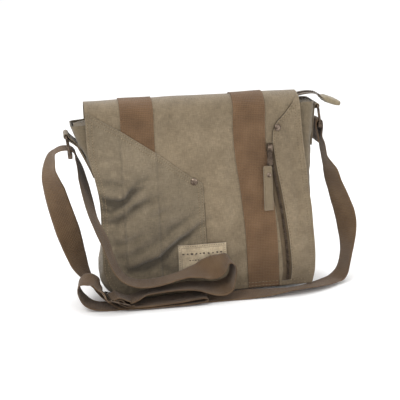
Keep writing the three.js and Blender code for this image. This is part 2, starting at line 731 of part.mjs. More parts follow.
// The ring's top bar and lower bar at one end of the bag
function ringPlaces(side, topHeight) {
  const gusset = pouchSide(topHeight, side);
  const out = RING_WIRE / 2 + GAP + TAB_THICKNESS;
  const reach = side < 0 ? out + 9 : out + 1;
  const top = new THREE.Vector3(gusset + side * reach, 0, topHeight);
  const lean = side < 0 ? -side * RING_LEAN : side * RING_LEAN;
  const bottom = top.clone().add(new THREE.Vector3(lean * RING_HEIGHT, 0, -RING_HEIGHT));
  return { top, bottom };
}

const RING_LEFT_TOP = 0.915 * ROOF_HEIGHT;
const RING_RIGHT_TOP = 1.0 * ROOF_HEIGHT;

function buildRing({ top, bottom }) {
  const half = (RING_INNER_WIDTH + RING_WIRE) / 2;
  const down = bottom.clone().sub(top).normalize();
  const across = new THREE.Vector3(0, 1, 0);
  const normal = across.clone().cross(down).normalize();
  const bend = 1.1 * RING_WIRE;
  const path = [];
  const corners = [[1, 0, 0], [1, 1, 1], [-1, 1, 2], [-1, 0, 3]];
  for (const [sideSign, low, turn] of corners) {
    const cy = sideSign * (half - bend);
    const cd = low ? RING_HEIGHT - bend : bend;
    for (let k = 0; k <= 3; k += 1) {
      const angle = ((turn + k / 3) * Math.PI) / 2;
      const y = cy + bend * Math.sin(angle);
      const d = cd - bend * Math.cos(angle);
      path.push(top.clone().addScaledVector(across, y).addScaledVector(down, d));
    }
  }
  const wire = toSolid(closedWire(path, RING_WIRE / 2, normal.clone().negate(), 8));
  const bar = roundedBox(0, 0, RING_BAR_WIDTH, RING_BAR_HEIGHT, 2);
  const reach = half + RING_WIRE / 2 + RING_BAR_OVERHANG;
  const block = new THREE.ExtrudeGeometry(bar, { depth: 2 * reach, bevelEnabled: false, curveSegments: 2 });
  block.translate(0, 0, -reach);
  block.rotateX(Math.PI / 2);
  block.translate(bottom.x, 0, bottom.z);
  return toGeometry(wire.add(toSolid(block)));
}

// A polygon in the front view whose sides touch a circle from outside
function discAround(centre, radius) {
  const corner = radius / Math.cos(Math.PI / DISC_SIDES);
  const outline = [];
  for (let k = 0; k < DISC_SIDES; k += 1) {
    const angle = (k / DISC_SIDES) * 2 * Math.PI;
    outline.push(flat(centre.x + corner * Math.cos(angle), centre.z + corner * Math.sin(angle)));
  }
  return outline;
}

// A canvas tab: an eye round the ring's top bar and a doubled leg sewn down the gusset
function buildTab(side, topBar, legLength) {
  const inner = RING_WIRE / 2 + GAP;
  const outer = inner + TAB_THICKNESS;
  const legTop = topBar.z - outer * 0.6;
  const heights = [0, 0.33, 0.66, 1].map((s) => legTop - s * legLength);
  const wallPoint = (height, away) => {
    const low = gussetX(height - 2, side);
    const high = gussetX(height + 2, side);
    const along = high.sub(low).normalize();
    const out = new THREE.Vector3(side * along.z, 0, -side * along.x);
    return gussetX(height, side).addScaledVector(out, away);
  };
  const near = heights.map((height) => wallPoint(height, LOOSE_GAP));
  const far = heights.map((height) => wallPoint(height, LOOSE_GAP + TAB_THICKNESS)).reverse();
  const outline = [...near, ...far].map((p) => flat(p.x, p.z));
  const leg = toSolid(frontPrism(side > 0 ? outline.reverse() : outline, -TAB_WIDTH / 2, TAB_WIDTH / 2));
  const eye = toSolid(frontPrism(discAround(topBar, outer), -TAB_WIDTH / 2, TAB_WIDTH / 2));
  const hole = toSolid(frontPrism(discAround(topBar, inner), -TAB_WIDTH, TAB_WIDTH));
  const neckTop = wallPoint(topBar.z + 2, LOOSE_GAP);
  const neck = [
    flat(neckTop.x, neckTop.z),
    flat(near[0].x, near[0].z - 4),
    flat(far[3].x, far[3].z - 4),
    flat(topBar.x, topBar.z - outer + 0.5),
    flat(topBar.x, topBar.z + outer - 0.5),
  ];
  const bridge = toSolid(frontPrism(side > 0 ? neck.reverse() : neck, -TAB_WIDTH / 2, TAB_WIDTH / 2));
  return toGeometry(leg.add(eye).add(bridge).subtract(hole));
}

// The strap's slide: its middle, its own directions along the strap, across it and up
const SLIDE_CENTRE = new THREE.Vector3(-147.5, -(HALF_DEPTH + 31.5), 18);
const SLIDE_ALONG = new THREE.Vector3(0.92, 0.12, -0.36).normalize();
const SLIDE_LEAN = new THREE.Vector3(0.38, 0.1, 0.92);
const SLIDE_ACROSS = SLIDE_LEAN.clone().cross(SLIDE_ALONG).normalize();
const SLIDE_UP = SLIDE_ALONG.clone().cross(SLIDE_ACROSS).normalize();

function slidePoint(along, up) {
  return SLIDE_CENTRE.clone().addScaledVector(SLIDE_ALONG, along).addScaledVector(SLIDE_UP, up);
}

function buildSlide() {
  const width = STRAP_WIDTH + 2 * SLIDE_SIDE_CLEARANCE + 2 * SLIDE_BAR;
  const frame = roundedBox(0, 0, SLIDE_LENGTH, width, 2);
  const slot = (SLIDE_LENGTH - 3 * SLIDE_BAR) / 2;
  const middle = (slot + SLIDE_BAR) / 2;
  for (const side of [-1, 1]) {
    const hole = roundedBox(side * middle, 0, slot, width - 2 * SLIDE_BAR, 0.5);
    frame.holes.push(new THREE.Path(hole.getPoints(2)));
  }
  const cut = { depth: SLIDE_THICKNESS, bevelEnabled: false, curveSegments: 2 };
  const plate = new THREE.ExtrudeGeometry(frame, cut);
  plate.translate(0, 0, -SLIDE_THICKNESS / 2);
  const basis = new THREE.Matrix4().makeBasis(SLIDE_ALONG, SLIDE_ACROSS, SLIDE_UP);
  basis.setPosition(SLIDE_CENTRE);
  plate.applyMatrix4(basis);
  return plate;
}

const ringLeft = ringPlaces(-1, RING_LEFT_TOP);
const ringRight = ringPlaces(1, RING_RIGHT_TOP);

// The strap's route, chosen by hand. Each row is the middle of the webbing and then the direction of its
// width. It starts at the end sewn round the right ring, goes down the right side, along the floor to the
// left, round and through the slide, along the pile to its fold, back and up to the left ring, over it, down
// to the floor behind, and under the pile to the end sewn round the slide's middle bar.
function strapRoute() {
  const rows = [];
  const add = (p, w) => rows.push([p, new THREE.Vector3(...w).normalize()]);
  const at = (x, y, z, w) => add(new THREE.Vector3(x, y, z), w);
  const before = (x, away, z, w) => at(x, -(HALF_DEPTH + away), z, w);
  const overBar = (bar, dx, dz, w) => add(bar.clone().add(new THREE.Vector3(dx, 0, dz)), w);
  const side = RING_BAR_WIDTH / 2 + GAP + STRAP_THICKNESS / 2 + 0.2;
  const over = RING_BAR_HEIGHT / 2 + GAP + STRAP_THICKNESS / 2 + 0.2;
  const y1 = [0, -1, 0];
  const ringR = ringRight.bottom;
  overBar(ringR, -1.0, -30, y1);
  overBar(ringR, -1.6, -20, y1);
  overBar(ringR, -side, -6, y1);
  overBar(ringR, -side, 1.5, y1);
  overBar(ringR, -0.8 * side, 0.83 * over, y1);
  overBar(ringR, 0, over, y1);
  overBar(ringR, 0.8 * side, 0.83 * over, y1);
  overBar(ringR, side, 1.5, y1);
  overBar(ringR, side + 0.3, -6, y1);
  overBar(ringR, 4.4, -20, y1);
  overBar(ringR, 8.5, -31, y1);
  at(200, -1, 205, [0.03, -1, 0]);
  at(209.5, -4, 181, [0.41, -0.91, 0]);
  at(214, -6, 163, [0.5, -0.87, 0]);
  at(220, -8, 146, [0.59, -0.81, 0]);
  at(225.5, -10, 129, [0.68, -0.73, 0]);
  at(231, -12, 112, [0.73, -0.68, 0]);
  at(234, -15, 95, [0.68, -0.73, 0]);
  at(234.5, -18, 79, [0.56, -0.83, 0]);
  at(234, -20.5, 62, [0.36, -0.93, 0]);
  at(232, -23, 45, [0.21, -0.98, 0]);
  at(228.5, -26, 29, [0.16, -0.98, 0]);
  at(222.5, -29.5, 14, [0.2, -0.98, 0.02]);
  at(212, -34, 5.2, [0.36, -0.93, 0.08]);
  at(200, -40, 4, [0.42, -0.9, 0.12]);
  before(184, 7.5, 4.6, [0.42, -0.9, 0.15]);
  before(166, 16.5, 5.6, [0.35, -0.93, 0.2]);
  before(146, 23.5, 6.6, [0.15, -0.96, 0.27]);
  before(125, 26, 6.2, [0, -0.97, 0.24]);
  before(98, 24.5, 3.8, [0, -1, 0.1]);
  before(62, 22, 2.8, [0, -1, -0.05]);
  before(20, 20.5, 1.4, [0, -1, 0]);
  before(-20, 20, 1.2, [0, -1, 0]);
  before(-60, 19.5, 1.2, [0, -1, 0]);
  before(-98, 19, 1.2, [0, -1, 0]);
  before(-136, 18.5, 1.2, [-0.03, -1, 0]);
  before(-165, 17.5, 1.3, [-0.06, -1, 0]);
  before(-185, 17, 5.2, [-0.12, -0.99, 0]);
  before(-197, 16, 14, [-0.15, -0.98, -0.05]);
  before(-204, 15, 26, [-0.12, -0.99, -0.01]);
  before(-205.5, 15, 38, [-0.1, -0.99, -0.02]);
  before(-201, 16.5, 46, [-0.16, -0.98, -0.1]);
  before(-192, 21.5, 49.5, [-0.22, -0.96, -0.14]);
  before(-182, 27, 46.5, [-0.15, -0.97, -0.15]);
  before(-175.5, 31.5, 38.5, [0, -0.99, -0.1]);
  const inSlide = (along, up, side) => add(slidePoint(along, up), SLIDE_ACROSS.clone().multiplyScalar(side));
  inSlide(-26, 4.6, -1);
  inSlide(-21.6, -1.6, -1);
  inSlide(-17, -4, -1);
  inSlide(-12.5, -2, -1);
  inSlide(-8.5, 1.6, -1);
  inSlide(-4.5, 4.8, -1);
  inSlide(0.5, 5.6, -1);
  inSlide(7, 4.6, -1);
  inSlide(13.5, 3.9, -1);
  inSlide(19.5, 4.3, -1);
  before(-119, 30.7, 17.4, [0.06, -1, 0.05]);
  before(-104, 30.7, 23.8, [0, -0.99, 0.11]);
  before(-82, 30.7, 26.2, [0, -0.99, 0.11]);
  before(-59, 30.7, 28, [0, -1, 0.07]);
  before(-40, 30.1, 28.4, [0, -1, 0]);
  before(-22, 29.7, 26, [0, -1, -0.05]);
  before(-6, 29.5, 22, [0, -0.98, -0.18]);
  before(7, 29.1, 19.8, [0.05, -0.96, -0.27]);
  before(18, 28.7, 20.4, [0.08, -0.94, -0.33]);
  before(27, 28.5, 25.5, [0.08, -0.95, -0.3]);
  before(31.5, 28.5, 34, [0.06, -0.98, -0.16]);
  before(33.5, 28.5, 44, [0.1, -0.99, 0]);
  before(34, 28.5, 53, [0.14, -0.98, 0.1]);
  before(32.5, 28.5, 60.5, [0.1, -0.99, 0.03]);
  before(28, 28, 65.5, [0, -0.99, -0.05]);
  before(21.5, 27.5, 64.5, [-0.06, -0.93, -0.3]);
  before(14.5, 27, 59.5, [-0.04, -0.72, -0.66]);
  before(5.5, 27, 55, [0.02, -0.52, -0.83]);
  before(-6, 27.3, 52.6, [0, -0.7, -0.66]);
  before(-20, 29.1, 51.2, [0, -0.93, -0.28]);
  before(-37, 29.9, 49.5, [0, -1, -0.05]);
  before(-53, 30.5, 45.8, [0, -1, 0.05]);
  before(-70, 31.1, 42, [0, -1, 0.03]);
  before(-86, 31.4, 39.4, [0, -1, 0]);
  before(-103, 31.3, 38.4, [0, -1, 0]);
  before(-119, 30.9, 40.4, [-0.05, -1, 0]);
  before(-132, 30.5, 46.5, [-0.15, -0.98, 0.05]);
  before(-142, 30.1, 57, [-0.27, -0.95, 0.1]);
  before(-149.5, 29.5, 71, [-0.3, -0.94, 0.12]);
  before(-155.5, 28.5, 88, [-0.32, -0.92, 0.2]);
  before(-160.5, 28, 106, [-0.38, -0.87, 0.32]);
  before(-168.4, 25.9, 126, [-0.44, -0.8, 0.4]);
  before(-177.5, 8, 149, [-0.42, -0.78, 0.46]);
  at(-182, -32, 170, [-0.44, -0.8, 0.4]);
  at(-186, -16, 191, [-0.4, -0.86, 0.32]);
  at(-189.5, -5, 211, [-0.25, -0.95, 0.18]);
  const ringL = ringLeft.bottom;
  overBar(ringL, 8.8, -6, [-0.03, -1, 0]);
  overBar(ringL, 6.8, 2, y1);
  overBar(ringL, 2, 6.6, y1);
  overBar(ringL, -5, 8, y1);
  overBar(ringL, -14, 7.5, y1);
  overBar(ringL, -22.5, 3.5, y1);
  overBar(ringL, -28, -4.5, [0.3, -0.95, 0]);
  at(-236.5, 0, 212, [0.5, -0.86, 0.02]);
  at(-235.5, 0, 194, [0.75, -0.66, 0.05]);
  at(-231.5, 0, 177, [0.88, -0.46, 0.08]);
  at(-226.5, 0, 154, [0.93, -0.3, 0.12]);
  at(-218.5, 1, 122, [0.93, -0.1, 0.16]);
  at(-211.5, 2, 95, [0.85, 0.35, 0.2]);
  at(-204.5, 1, 68, [0.76, 0.62, 0.1]);
  at(-198, -4, 47, [0.66, 0.66, -0.25]);
  at(-188, -16, 30, [0.55, 0.6, -0.55]);
  at(-174, -34, 18.5, [0.5, 0.65, -0.55]);
  before(-158, 9, 11.5, [0.5, 0.83, -0.2]);
  before(-139, 21.5, 3.9, [0.22, 0.97, 0.02]);
  before(-118, 27, 3.7, [0.05, 1, 0]);
  before(-80, 28.5, 3.8, [0, 1, 0]);
  before(-45, 29, 3.8, [0, 1, 0]);
  before(-22, 29, 4.6, [0, 1, 0]);
  before(-13, 29, 5.6, [0, 1, 0]);
  before(-9, 29, 8.6, [0, 1, 0]);
  before(-13, 29, 11.6, [0, 1, 0]);
  before(-22, 29, 11.6, [0, 1, 0]);
  before(-45, 29.1, 9.2, [0, 1, 0]);
  before(-78, 29.3, 7.4, [0, 1, 0]);
  before(-104, 29.5, 6.6, [0, 1, 0]);
  before(-121, 29.3, 6.6, [-0.03, 1, 0]);
  inSlide(16, -5.4, 1);
  inSlide(7, -4.8, 1);
  inSlide(1, -3.4, 1);
  inSlide(-2.8, -1.6, 1);
  inSlide(-3.2, 0.8, 1);
  inSlide(-0.8, 2.8, 1);
  inSlide(3.4, 2.2, 1);
  inSlide(8, -0.2, 1);
  inSlide(12.5, -2.4, 1);
  inSlide(17.5, -2.6, 1);
  before(-124.5, 29.1, 9.6, [-0.05, 1, 0]);
  return rows;
}

// Webbing swept along the route
function sweepStrap(route) {
  const curve = new THREE.CatmullRomCurve3(route.map(([p]) => p), false, 'centripetal');
  const last = route.length - 1;
  const total = last * STRAP_STEPS;
  const centres = [];
  const widths = [];
  for (let k = 0; k <= total; k += 1) {
    const place = k / STRAP_STEPS;
    const low = Math.min(Math.floor(place), last - 1);
    centres.push(curve.getPoint(place / last));
    widths.push(route[low][1].clone().lerp(route[low + 1][1], place - low));
  }
  const grid = (side) => centres.map((centre, k) => {
    const tangent = centres[Math.min(k + 1, total)].clone().sub(centres[Math.max(k - 1, 0)]).normalize();
    const width = widths[k].clone().addScaledVector(tangent, -widths[k].dot(tangent)).normalize();
    const normal = tangent.clone().cross(width);
    return [1, -1].map((share) => centre.clone()
      .addScaledVector(width, (share * STRAP_WIDTH) / 2)
      .addScaledVector(normal, (side * STRAP_THICKNESS) / 2));
  });
  return slab(grid(1), grid(-1));
}

// Turn a geometry's faces outward if they point in
function outward(geometry) {
  const position = geometry.attributes.position;
  const index = geometry.index;
  let volume = 0;
  const a = new THREE.Vector3();
  const b = new THREE.Vector3();
  const c = new THREE.Vector3();
  for (let k = 0; k < index.count; k += 3) {
    a.fromBufferAttribute(position, index.getX(k));
    b.fromBufferAttribute(position, index.getX(k + 1));
    c.fromBufferAttribute(position, index.getX(k + 2));
    volume += a.dot(b.cross(c));
  }
  if (volume > 0) return geometry;
  const turned = Array.from(index.array);
  for (let k = 0; k < turned.length; k += 3) [turned[k + 1], turned[k + 2]] = [turned[k + 2], turned[k + 1]];
  geometry.setIndex(turned);
  return geometry;
}

const bag = new THREE.Group();
function piece(name, geometry, look) {
  const bare = geometry.clone();
  bare.deleteAttribute('normal');
  bare.deleteAttribute('uv');
  const shared = bare.index ? bare : mergeVertices(bare, 1e-4);
  const mesh = new THREE.Mesh(outward(shared), new THREE.MeshStandardMaterial(finish[look]));
  mesh.name = name;
  bag.add(mesh);
}

piece('bag_body', buildPouch(), 'canvas');
piece('roof_panel', buildRoof(), 'canvas');
const roofZip = roofZipPoints();
piece('roof_zip_tape', ribbonAlong(roofZip, ROOF_ZIP_WIDTH, 0, ROOF_ZIP_THICKNESS), 'tape');
const teethLift = ROOF_ZIP_THICKNESS + GAP;
piece('roof_zip_teeth', ribbonAlong(roofZip, ROOF_TEETH_WIDTH, teethLift, ROOF_TEETH_HEIGHT), 'metal');
piece('roof_zip_cap', buildRoofCap(), 'canvas');
piece('flap', flapLayer(0, CANVAS, flapOutline(), FLAP_FAR), 'canvas');
const leftWebbing = webbingOutline(LEFT_WEBBING_LINE);
const rightWebbing = webbingOutline(RIGHT_WEBBING_LINE);
piece('webbing_left', flapLayer(WEBBING_LIFT, WEBBING_THICKNESS, leftWebbing, FLAP_FAR), 'webbing');
piece('webbing_right', flapLayer(WEBBING_LIFT, WEBBING_THICKNESS, rightWebbing, FLAP_FAR), 'webbing');
const pocketOutline = sharesToPoints(POCKET_OUTLINE);
piece('pocket_left', flapLayer(PANEL_LIFT, PANEL_THICKNESS, pocketOutline, FRONT_FAR), 'canvas');
piece('panel_right', flapLayer(PANEL_LIFT, PANEL_THICKNESS, rightPanelOutline(), FRONT_FAR), 'canvas');
piece('flap_zip_tape', flapLayer(TAPE_LIFT, ZIP_TAPE_THICKNESS, zipTapeOutline(), FRONT_FAR), 'tape');
piece('flap_zip_teeth', flapLayer(TEETH_LIFT, ZIP_TEETH_HEIGHT, zipTeethOutline(), FRONT_FAR), 'metal');
const sliderAt = ZIP_SLIDER_PLACE;
const sliderOutline = roundedBox(sliderAt.x, sliderAt.y, ZIP_SLIDER_WIDTH, ZIP_SLIDER_LENGTH, 2);
piece('flap_zip_slider', flapLayer(SLIDER_LIFT, ZIP_SLIDER_HEIGHT, sliderOutline, FRONT_FAR), 'metal');
const pullOutline = roundedBox(PULL_PLACE.x, PULL_PLACE.y, PULL_WIDTH, PULL_LENGTH, 2);
piece('flap_zip_pull', flapLayer(PULL_LIFT, PULL_THICKNESS, pullOutline, FRONT_FAR), 'metal');
const tabOutline = roundedBox(PULL_TAB_PLACE.x, PULL_TAB_PLACE.y, PULL_TAB_WIDTH, PULL_TAB_LENGTH, 4);
piece('pull_tab', flapLayer(PULL_TAB_LIFT, PULL_TAB_THICKNESS, tabOutline, FRONT_FAR), 'canvas');
const pullRivetLift = PULL_TAB_LIFT + PULL_TAB_THICKNESS + LOOSE_GAP;
piece('pull_rivet', rivet(PULL_RIVET_PLACE, PULL_RIVET_RADIUS, RIVET_HEIGHT, pullRivetLift), 'metal');
const rivetLift = PANEL_LIFT + PANEL_THICKNESS + LOOSE_GAP;
piece('rivet_left', rivet(RIVET_LEFT_PLACE, RIVET_RADIUS, RIVET_HEIGHT, rivetLift), 'metal');
piece('rivet_right', rivet(RIVET_RIGHT_PLACE, RIVET_RADIUS, RIVET_HEIGHT, rivetLift), 'metal');
const labelOutline = roundedBox(LABEL_PLACE.x, LABEL_PLACE.y, LABEL_WIDTH, LABEL_HEIGHT, 1);
piece('label', flapLayer(LABEL_LIFT, LABEL_THICKNESS, labelOutline, FRONT_FAR), 'label');
piece('ring_left', buildRing(ringLeft), 'metal');
piece('ring_right', buildRing(ringRight), 'metal');
piece('tab_left', buildTab(-1, ringLeft.top, 0.6 * TAB_LENGTH), 'canvas');
piece('tab_right', buildTab(1, ringRight.top, 1.2 * TAB_LENGTH), 'canvas');
piece('strap', sweepStrap(strapRoute()), 'strap');
piece('strap_slide', buildSlide(), 'metal');

export default bag;
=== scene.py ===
import math
import bpy
import numpy as np
from mathutils import Matrix, Vector

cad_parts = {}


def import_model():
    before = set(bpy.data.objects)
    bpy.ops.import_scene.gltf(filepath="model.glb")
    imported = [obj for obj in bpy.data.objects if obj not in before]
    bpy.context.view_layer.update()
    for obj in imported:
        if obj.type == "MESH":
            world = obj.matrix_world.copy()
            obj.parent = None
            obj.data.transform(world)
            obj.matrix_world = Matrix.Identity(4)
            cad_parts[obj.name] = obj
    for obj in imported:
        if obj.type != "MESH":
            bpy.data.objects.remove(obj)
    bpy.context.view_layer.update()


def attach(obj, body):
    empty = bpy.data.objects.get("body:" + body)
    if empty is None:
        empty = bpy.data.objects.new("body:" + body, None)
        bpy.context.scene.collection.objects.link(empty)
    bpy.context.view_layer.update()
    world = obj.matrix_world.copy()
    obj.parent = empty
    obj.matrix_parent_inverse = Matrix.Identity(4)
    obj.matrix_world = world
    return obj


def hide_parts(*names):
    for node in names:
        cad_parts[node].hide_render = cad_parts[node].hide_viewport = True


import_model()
MM = 0.001

# Camera, lights and floor
def make_camera():
    azimuth, elevation, roll = (math.radians(v) for v in (-9.0, 16.0, 1.695))
    distance = 1.504348
    principal = (202.211, 196.029)
    image_size = 400.0
    back = Vector((math.sin(azimuth) * math.cos(elevation), -math.cos(azimuth) * math.cos(elevation),
                   math.sin(elevation)))
    level = Vector((math.cos(azimuth), math.sin(azimuth), 0.0))
    upright = back.cross(level)
    right = level * math.cos(roll) - upright * math.sin(roll)
    up = upright * math.cos(roll) + level * math.sin(roll)
    data = bpy.data.cameras.new("camera")
    data.lens = 85.0
    data.sensor_width = 36.0
    data.sensor_fit = "HORIZONTAL"
    data.shift_x = 0.5 - principal[0] / image_size
    data.shift_y = principal[1] / image_size - 0.5
    data.clip_start = 0.05
    data.clip_end = 50.0
    view = bpy.data.objects.new("camera", data)
    bpy.context.scene.collection.objects.link(view)
    turn = Matrix((right, up, back)).transposed().to_4x4()
    view.matrix_world = Matrix.Translation(Vector((0.0, 0.0, 0.150)) + back * distance) @ turn
    bpy.context.scene.camera = view


make_camera()


def area_light(name, place, aim, power, size, colour=(1.0, 1.0, 1.0)):
    data = bpy.data.lights.new(name, "AREA")
    data.energy = power
    data.shape = "RECTANGLE"
    data.size, data.size_y = size
    data.color = colour
    lamp = bpy.data.objects.new(name, data)
    bpy.context.scene.collection.objects.link(lamp)
    lamp.location = place
    lamp.rotation_euler = (Vector(aim) - Vector(place)).to_track_quat("-Z", "Y").to_euler()
    return lamp


area_light("key_light", (-1.0, -1.3, 1.9), (0, 0, 0.12), 20, (1.0, 0.8))
area_light("fill_light", (1.6, -1.0, 0.9), (0, 0, 0.12), 4, (1.2, 1.0))
area_light("top_light", (0.1, 0.4, 2.1), (0, 0, 0.1), 12, (1.4, 1.2))
world = bpy.data.worlds.new("studio")
world.use_nodes = True
world.node_tree.nodes["Background"].inputs["Color"].default_value = (1.0, 1.0, 1.0, 1.0)
world.node_tree.nodes["Background"].inputs["Strength"].default_value = 1.04
bpy.context.scene.world = world
bpy.context.scene.view_settings.view_transform = "Standard"
bpy.context.scene.view_settings.look = "None"


# Node material helpers
class Nodes:
    def __init__(self, name):
        self.material = bpy.data.materials.new(name)
        self.material.use_nodes = True
        self.tree = self.material.node_tree
        self.shader = self.tree.nodes["Principled BSDF"]

    def node(self, kind, **settings):
        made = self.tree.nodes.new(kind)
        for key, value in settings.items():
            setattr(made, key, value)
        return made

    def link(self, source, target):
        self.tree.links.new(source, target)

    def math(self, operation, first, second=0.0):
        made = self.node("ShaderNodeMath", operation=operation)
        for socket, value in zip(made.inputs, (first, second)):
            if isinstance(value, (int, float)):
                socket.default_value = value
            else:
                self.link(value, socket)
        return made.outputs[0]

    def ramp(self, factor, stops):
        made = self.node("ShaderNodeValToRGB")
        made.color_ramp.elements[0].position = stops[0][0]
        made.color_ramp.elements[0].color = (*stops[0][1], 1.0)
        made.color_ramp.elements[1].position = stops[-1][0]
        made.color_ramp.elements[1].color = (*stops[-1][1], 1.0)
        for place, colour in stops[1:-1]:
            made.color_ramp.elements.new(place).color = (*colour, 1.0)
        self.link(factor, made.inputs["Fac"])
        return made.outputs["Color"]

    def mix(self, factor, first, second, blend="MIX"):
        made = self.node("ShaderNodeMix", data_type="RGBA", blend_type=blend)
        for socket, value in ((made.inputs[0], factor), (made.inputs[6], first), (made.inputs[7], second)):
            if isinstance(value, (int, float)):
                socket.default_value = value
            elif isinstance(value, tuple):
                socket.default_value = (*value, 1.0)
            else:
                self.link(value, socket)
        return made.outputs[2]

    def noise(self, vector, scale, detail=4.0, rough=0.6):
        made = self.node("ShaderNodeTexNoise")
        made.inputs["Scale"].default_value = scale
        made.inputs["Detail"].default_value = detail
        made.inputs["Roughness"].default_value = rough
        self.link(vector, made.inputs["Vector"])
        return made.outputs["Fac"]

    def bump(self, height, distance, strength=1.0, normal=None):
        made = self.node("ShaderNodeBump")
        made.inputs["Strength"].default_value = strength
        made.inputs["Distance"].default_value = distance
        self.link(height, made.inputs["Height"])
        if normal is not None:
            self.link(normal, made.inputs["Normal"])
        return made.outputs["Normal"]


def srgb(r, g, b):
    return tuple(((v / 255.0 + 0.055) / 1.055) ** 2.4 if v > 10 else v / 255.0 / 12.92 for v in (r, g, b))


def canvas_material(name, base, dark, light, wear=0.25, thread=0.00055):
    n = Nodes(name)
    place = n.node("ShaderNodeTexCoord").outputs["Object"]
    uv = n.node("ShaderNodeUVMap").outputs["UV"]
    split = n.node("ShaderNodeSeparateXYZ")
    n.link(uv, split.inputs[0])
    across = n.math("SINE", n.math("MULTIPLY", split.outputs[0], 2 * math.pi / thread))
    along = n.math("SINE", n.math("MULTIPLY", split.outputs[1], 2 * math.pi / thread))
    weave = n.math("MULTIPLY", across, along)
    fine = n.noise(place, 900.0, 3.0, 0.7)
    cloud = n.noise(place, 14.0, 5.0, 0.6)
    blotch = n.noise(place, 60.0, 4.0, 0.65)
    tone = n.math("ADD", n.math("MULTIPLY", cloud, 0.55), n.math("MULTIPLY", blotch, 0.45))
    colour = n.ramp(tone, [(0.24, dark), (0.5, base), (0.8, light)])
    speck = n.ramp(fine, [(0.3, (0.76, 0.76, 0.76)), (0.75, (1.14, 1.14, 1.14))])
    colour = n.mix(0.8, colour, speck, "MULTIPLY")
    for long_side in (0, 1):
        stretch = n.node("ShaderNodeMapping")
        stretch.inputs["Scale"].default_value = (110.0, 900.0, 1.0) if long_side else (900.0, 110.0, 1.0)
        n.link(uv, stretch.inputs["Vector"])
        slub = n.ramp(n.noise(stretch.outputs[0], 1.0, 2.0, 0.5),
                      [(0.34, (0.8, 0.8, 0.79)), (0.66, (1.14, 1.13, 1.12))])
        colour = n.mix(0.7, colour, slub, "MULTIPLY")
    shade = n.node("ShaderNodeVertexColor", layer_name="shade").outputs["Color"]
    colour = n.mix(1.0, colour, shade, "MULTIPLY")
    n.link(colour, n.shader.inputs["Base Color"])
    n.shader.inputs["Roughness"].default_value = 0.93
    n.shader.inputs["Specular IOR Level"].default_value = 0.22
    n.shader.inputs["Sheen Weight"].default_value = 0.25
    n.shader.inputs["Sheen Roughness"].default_value = 0.55
    height = n.math("ADD", n.math("MULTIPLY", weave, 0.35), n.math("MULTIPLY", fine, 0.9))
    normal = n.bump(height, 0.00022, 0.7)
    soft = n.noise(place, 120.0, 5.0, 0.6)
    n.link(n.bump(soft, 0.0009, 0.45, normal), n.shader.inputs["Normal"])
    return n.material


def webbing_material(name, base, dark, light, rib=0.0017, twill_size=0.0052):
    n = Nodes(name)
    place = n.node("ShaderNodeTexCoord").outputs["Object"]
    uv = n.node("ShaderNodeUVMap").outputs["UV"]
    split = n.node("ShaderNodeSeparateXYZ")
    n.link(uv, split.inputs[0])
    rib_turn = n.math("MULTIPLY", split.outputs[1], 2 * math.pi / rib)
    ends_turn = n.math("MULTIPLY", split.outputs[0], 2 * math.pi / 0.0021)
    offset = n.math("MULTIPLY", n.math("SIGN", n.math("SINE", n.math("MULTIPLY", rib_turn, 0.5))),
                    math.pi / 2)
    ribs = n.math("SINE", rib_turn)
    ends = n.math("SINE", n.math("ADD", ends_turn, offset))
    weave = n.math("ADD", n.math("MULTIPLY", ribs, 0.5), n.math("MULTIPLY", ends, 0.4))
    fine = n.noise(place, 1100.0, 3.0, 0.7)
    cloud = n.noise(place, 26.0, 5.0, 0.6)
    colour = n.ramp(cloud, [(0.2, dark), (0.52, base), (0.85, light)])
    rise = n.math("ADD", split.outputs[0], split.outputs[1])
    fall = n.math("SUBTRACT", split.outputs[0], split.outputs[1])
    twill = n.math("MULTIPLY", n.math("SINE", n.math("MULTIPLY", rise, 2 * math.pi / twill_size)),
                   n.math("SINE", n.math("MULTIPLY", fall, 2 * math.pi / twill_size)))
    diamonds = n.ramp(n.math("ADD", n.math("MULTIPLY", twill, 0.5), 0.5),
                      [(0.15, (0.72, 0.71, 0.7)), (0.85, (1.2, 1.19, 1.17))])
    colour = n.mix(0.75, colour, diamonds, "MULTIPLY")
    half_weave = n.math("ADD", n.math("MULTIPLY", weave, 0.5), 0.5)
    pick = n.ramp(half_weave, [(0.0, (0.7, 0.7, 0.7)), (0.9, (1.22, 1.2, 1.18))])
    colour = n.mix(0.75, colour, pick, "MULTIPLY")
    speck = n.ramp(fine, [(0.3, (0.85, 0.85, 0.85)), (0.75, (1.1, 1.1, 1.1))])
    colour = n.mix(0.7, colour, speck, "MULTIPLY")
    shade = n.node("ShaderNodeVertexColor", layer_name="shade").outputs["Color"]
    colour = n.mix(1.0, colour, shade, "MULTIPLY")
    n.link(colour, n.shader.inputs["Base Color"])
    n.shader.inputs["Roughness"].default_value = 0.85
    n.shader.inputs["Specular IOR Level"].default_value = 0.25
    n.shader.inputs["Sheen Weight"].default_value = 0.15
    height = n.math("ADD", n.math("ADD", weave, n.math("MULTIPLY", fine, 0.5)),
                    n.math("MULTIPLY", twill, 0.8))
    n.link(n.bump(height, 0.0004, 0.9), n.shader.inputs["Normal"])
    return n.material


def metal_material(name, base, dark, rough=0.38):
    n = Nodes(name)
    place = n.node("ShaderNodeTexCoord").outputs["Object"]
    cloud = n.noise(place, 160.0, 5.0, 0.6)
    colour = n.ramp(cloud, [(0.35, dark), (0.65, base)])
    n.link(colour, n.shader.inputs["Base Color"])
    n.shader.inputs["Metallic"].default_value = 0.95
    n.link(n.ramp(cloud, [(0.3, (rough + 0.15,) * 3), (0.7, (rough - 0.06,) * 3)]),
           n.shader.inputs["Roughness"])
    n.link(n.bump(n.noise(place, 700.0, 3.0), 0.0001, 0.4), n.shader.inputs["Normal"])
    return n.material


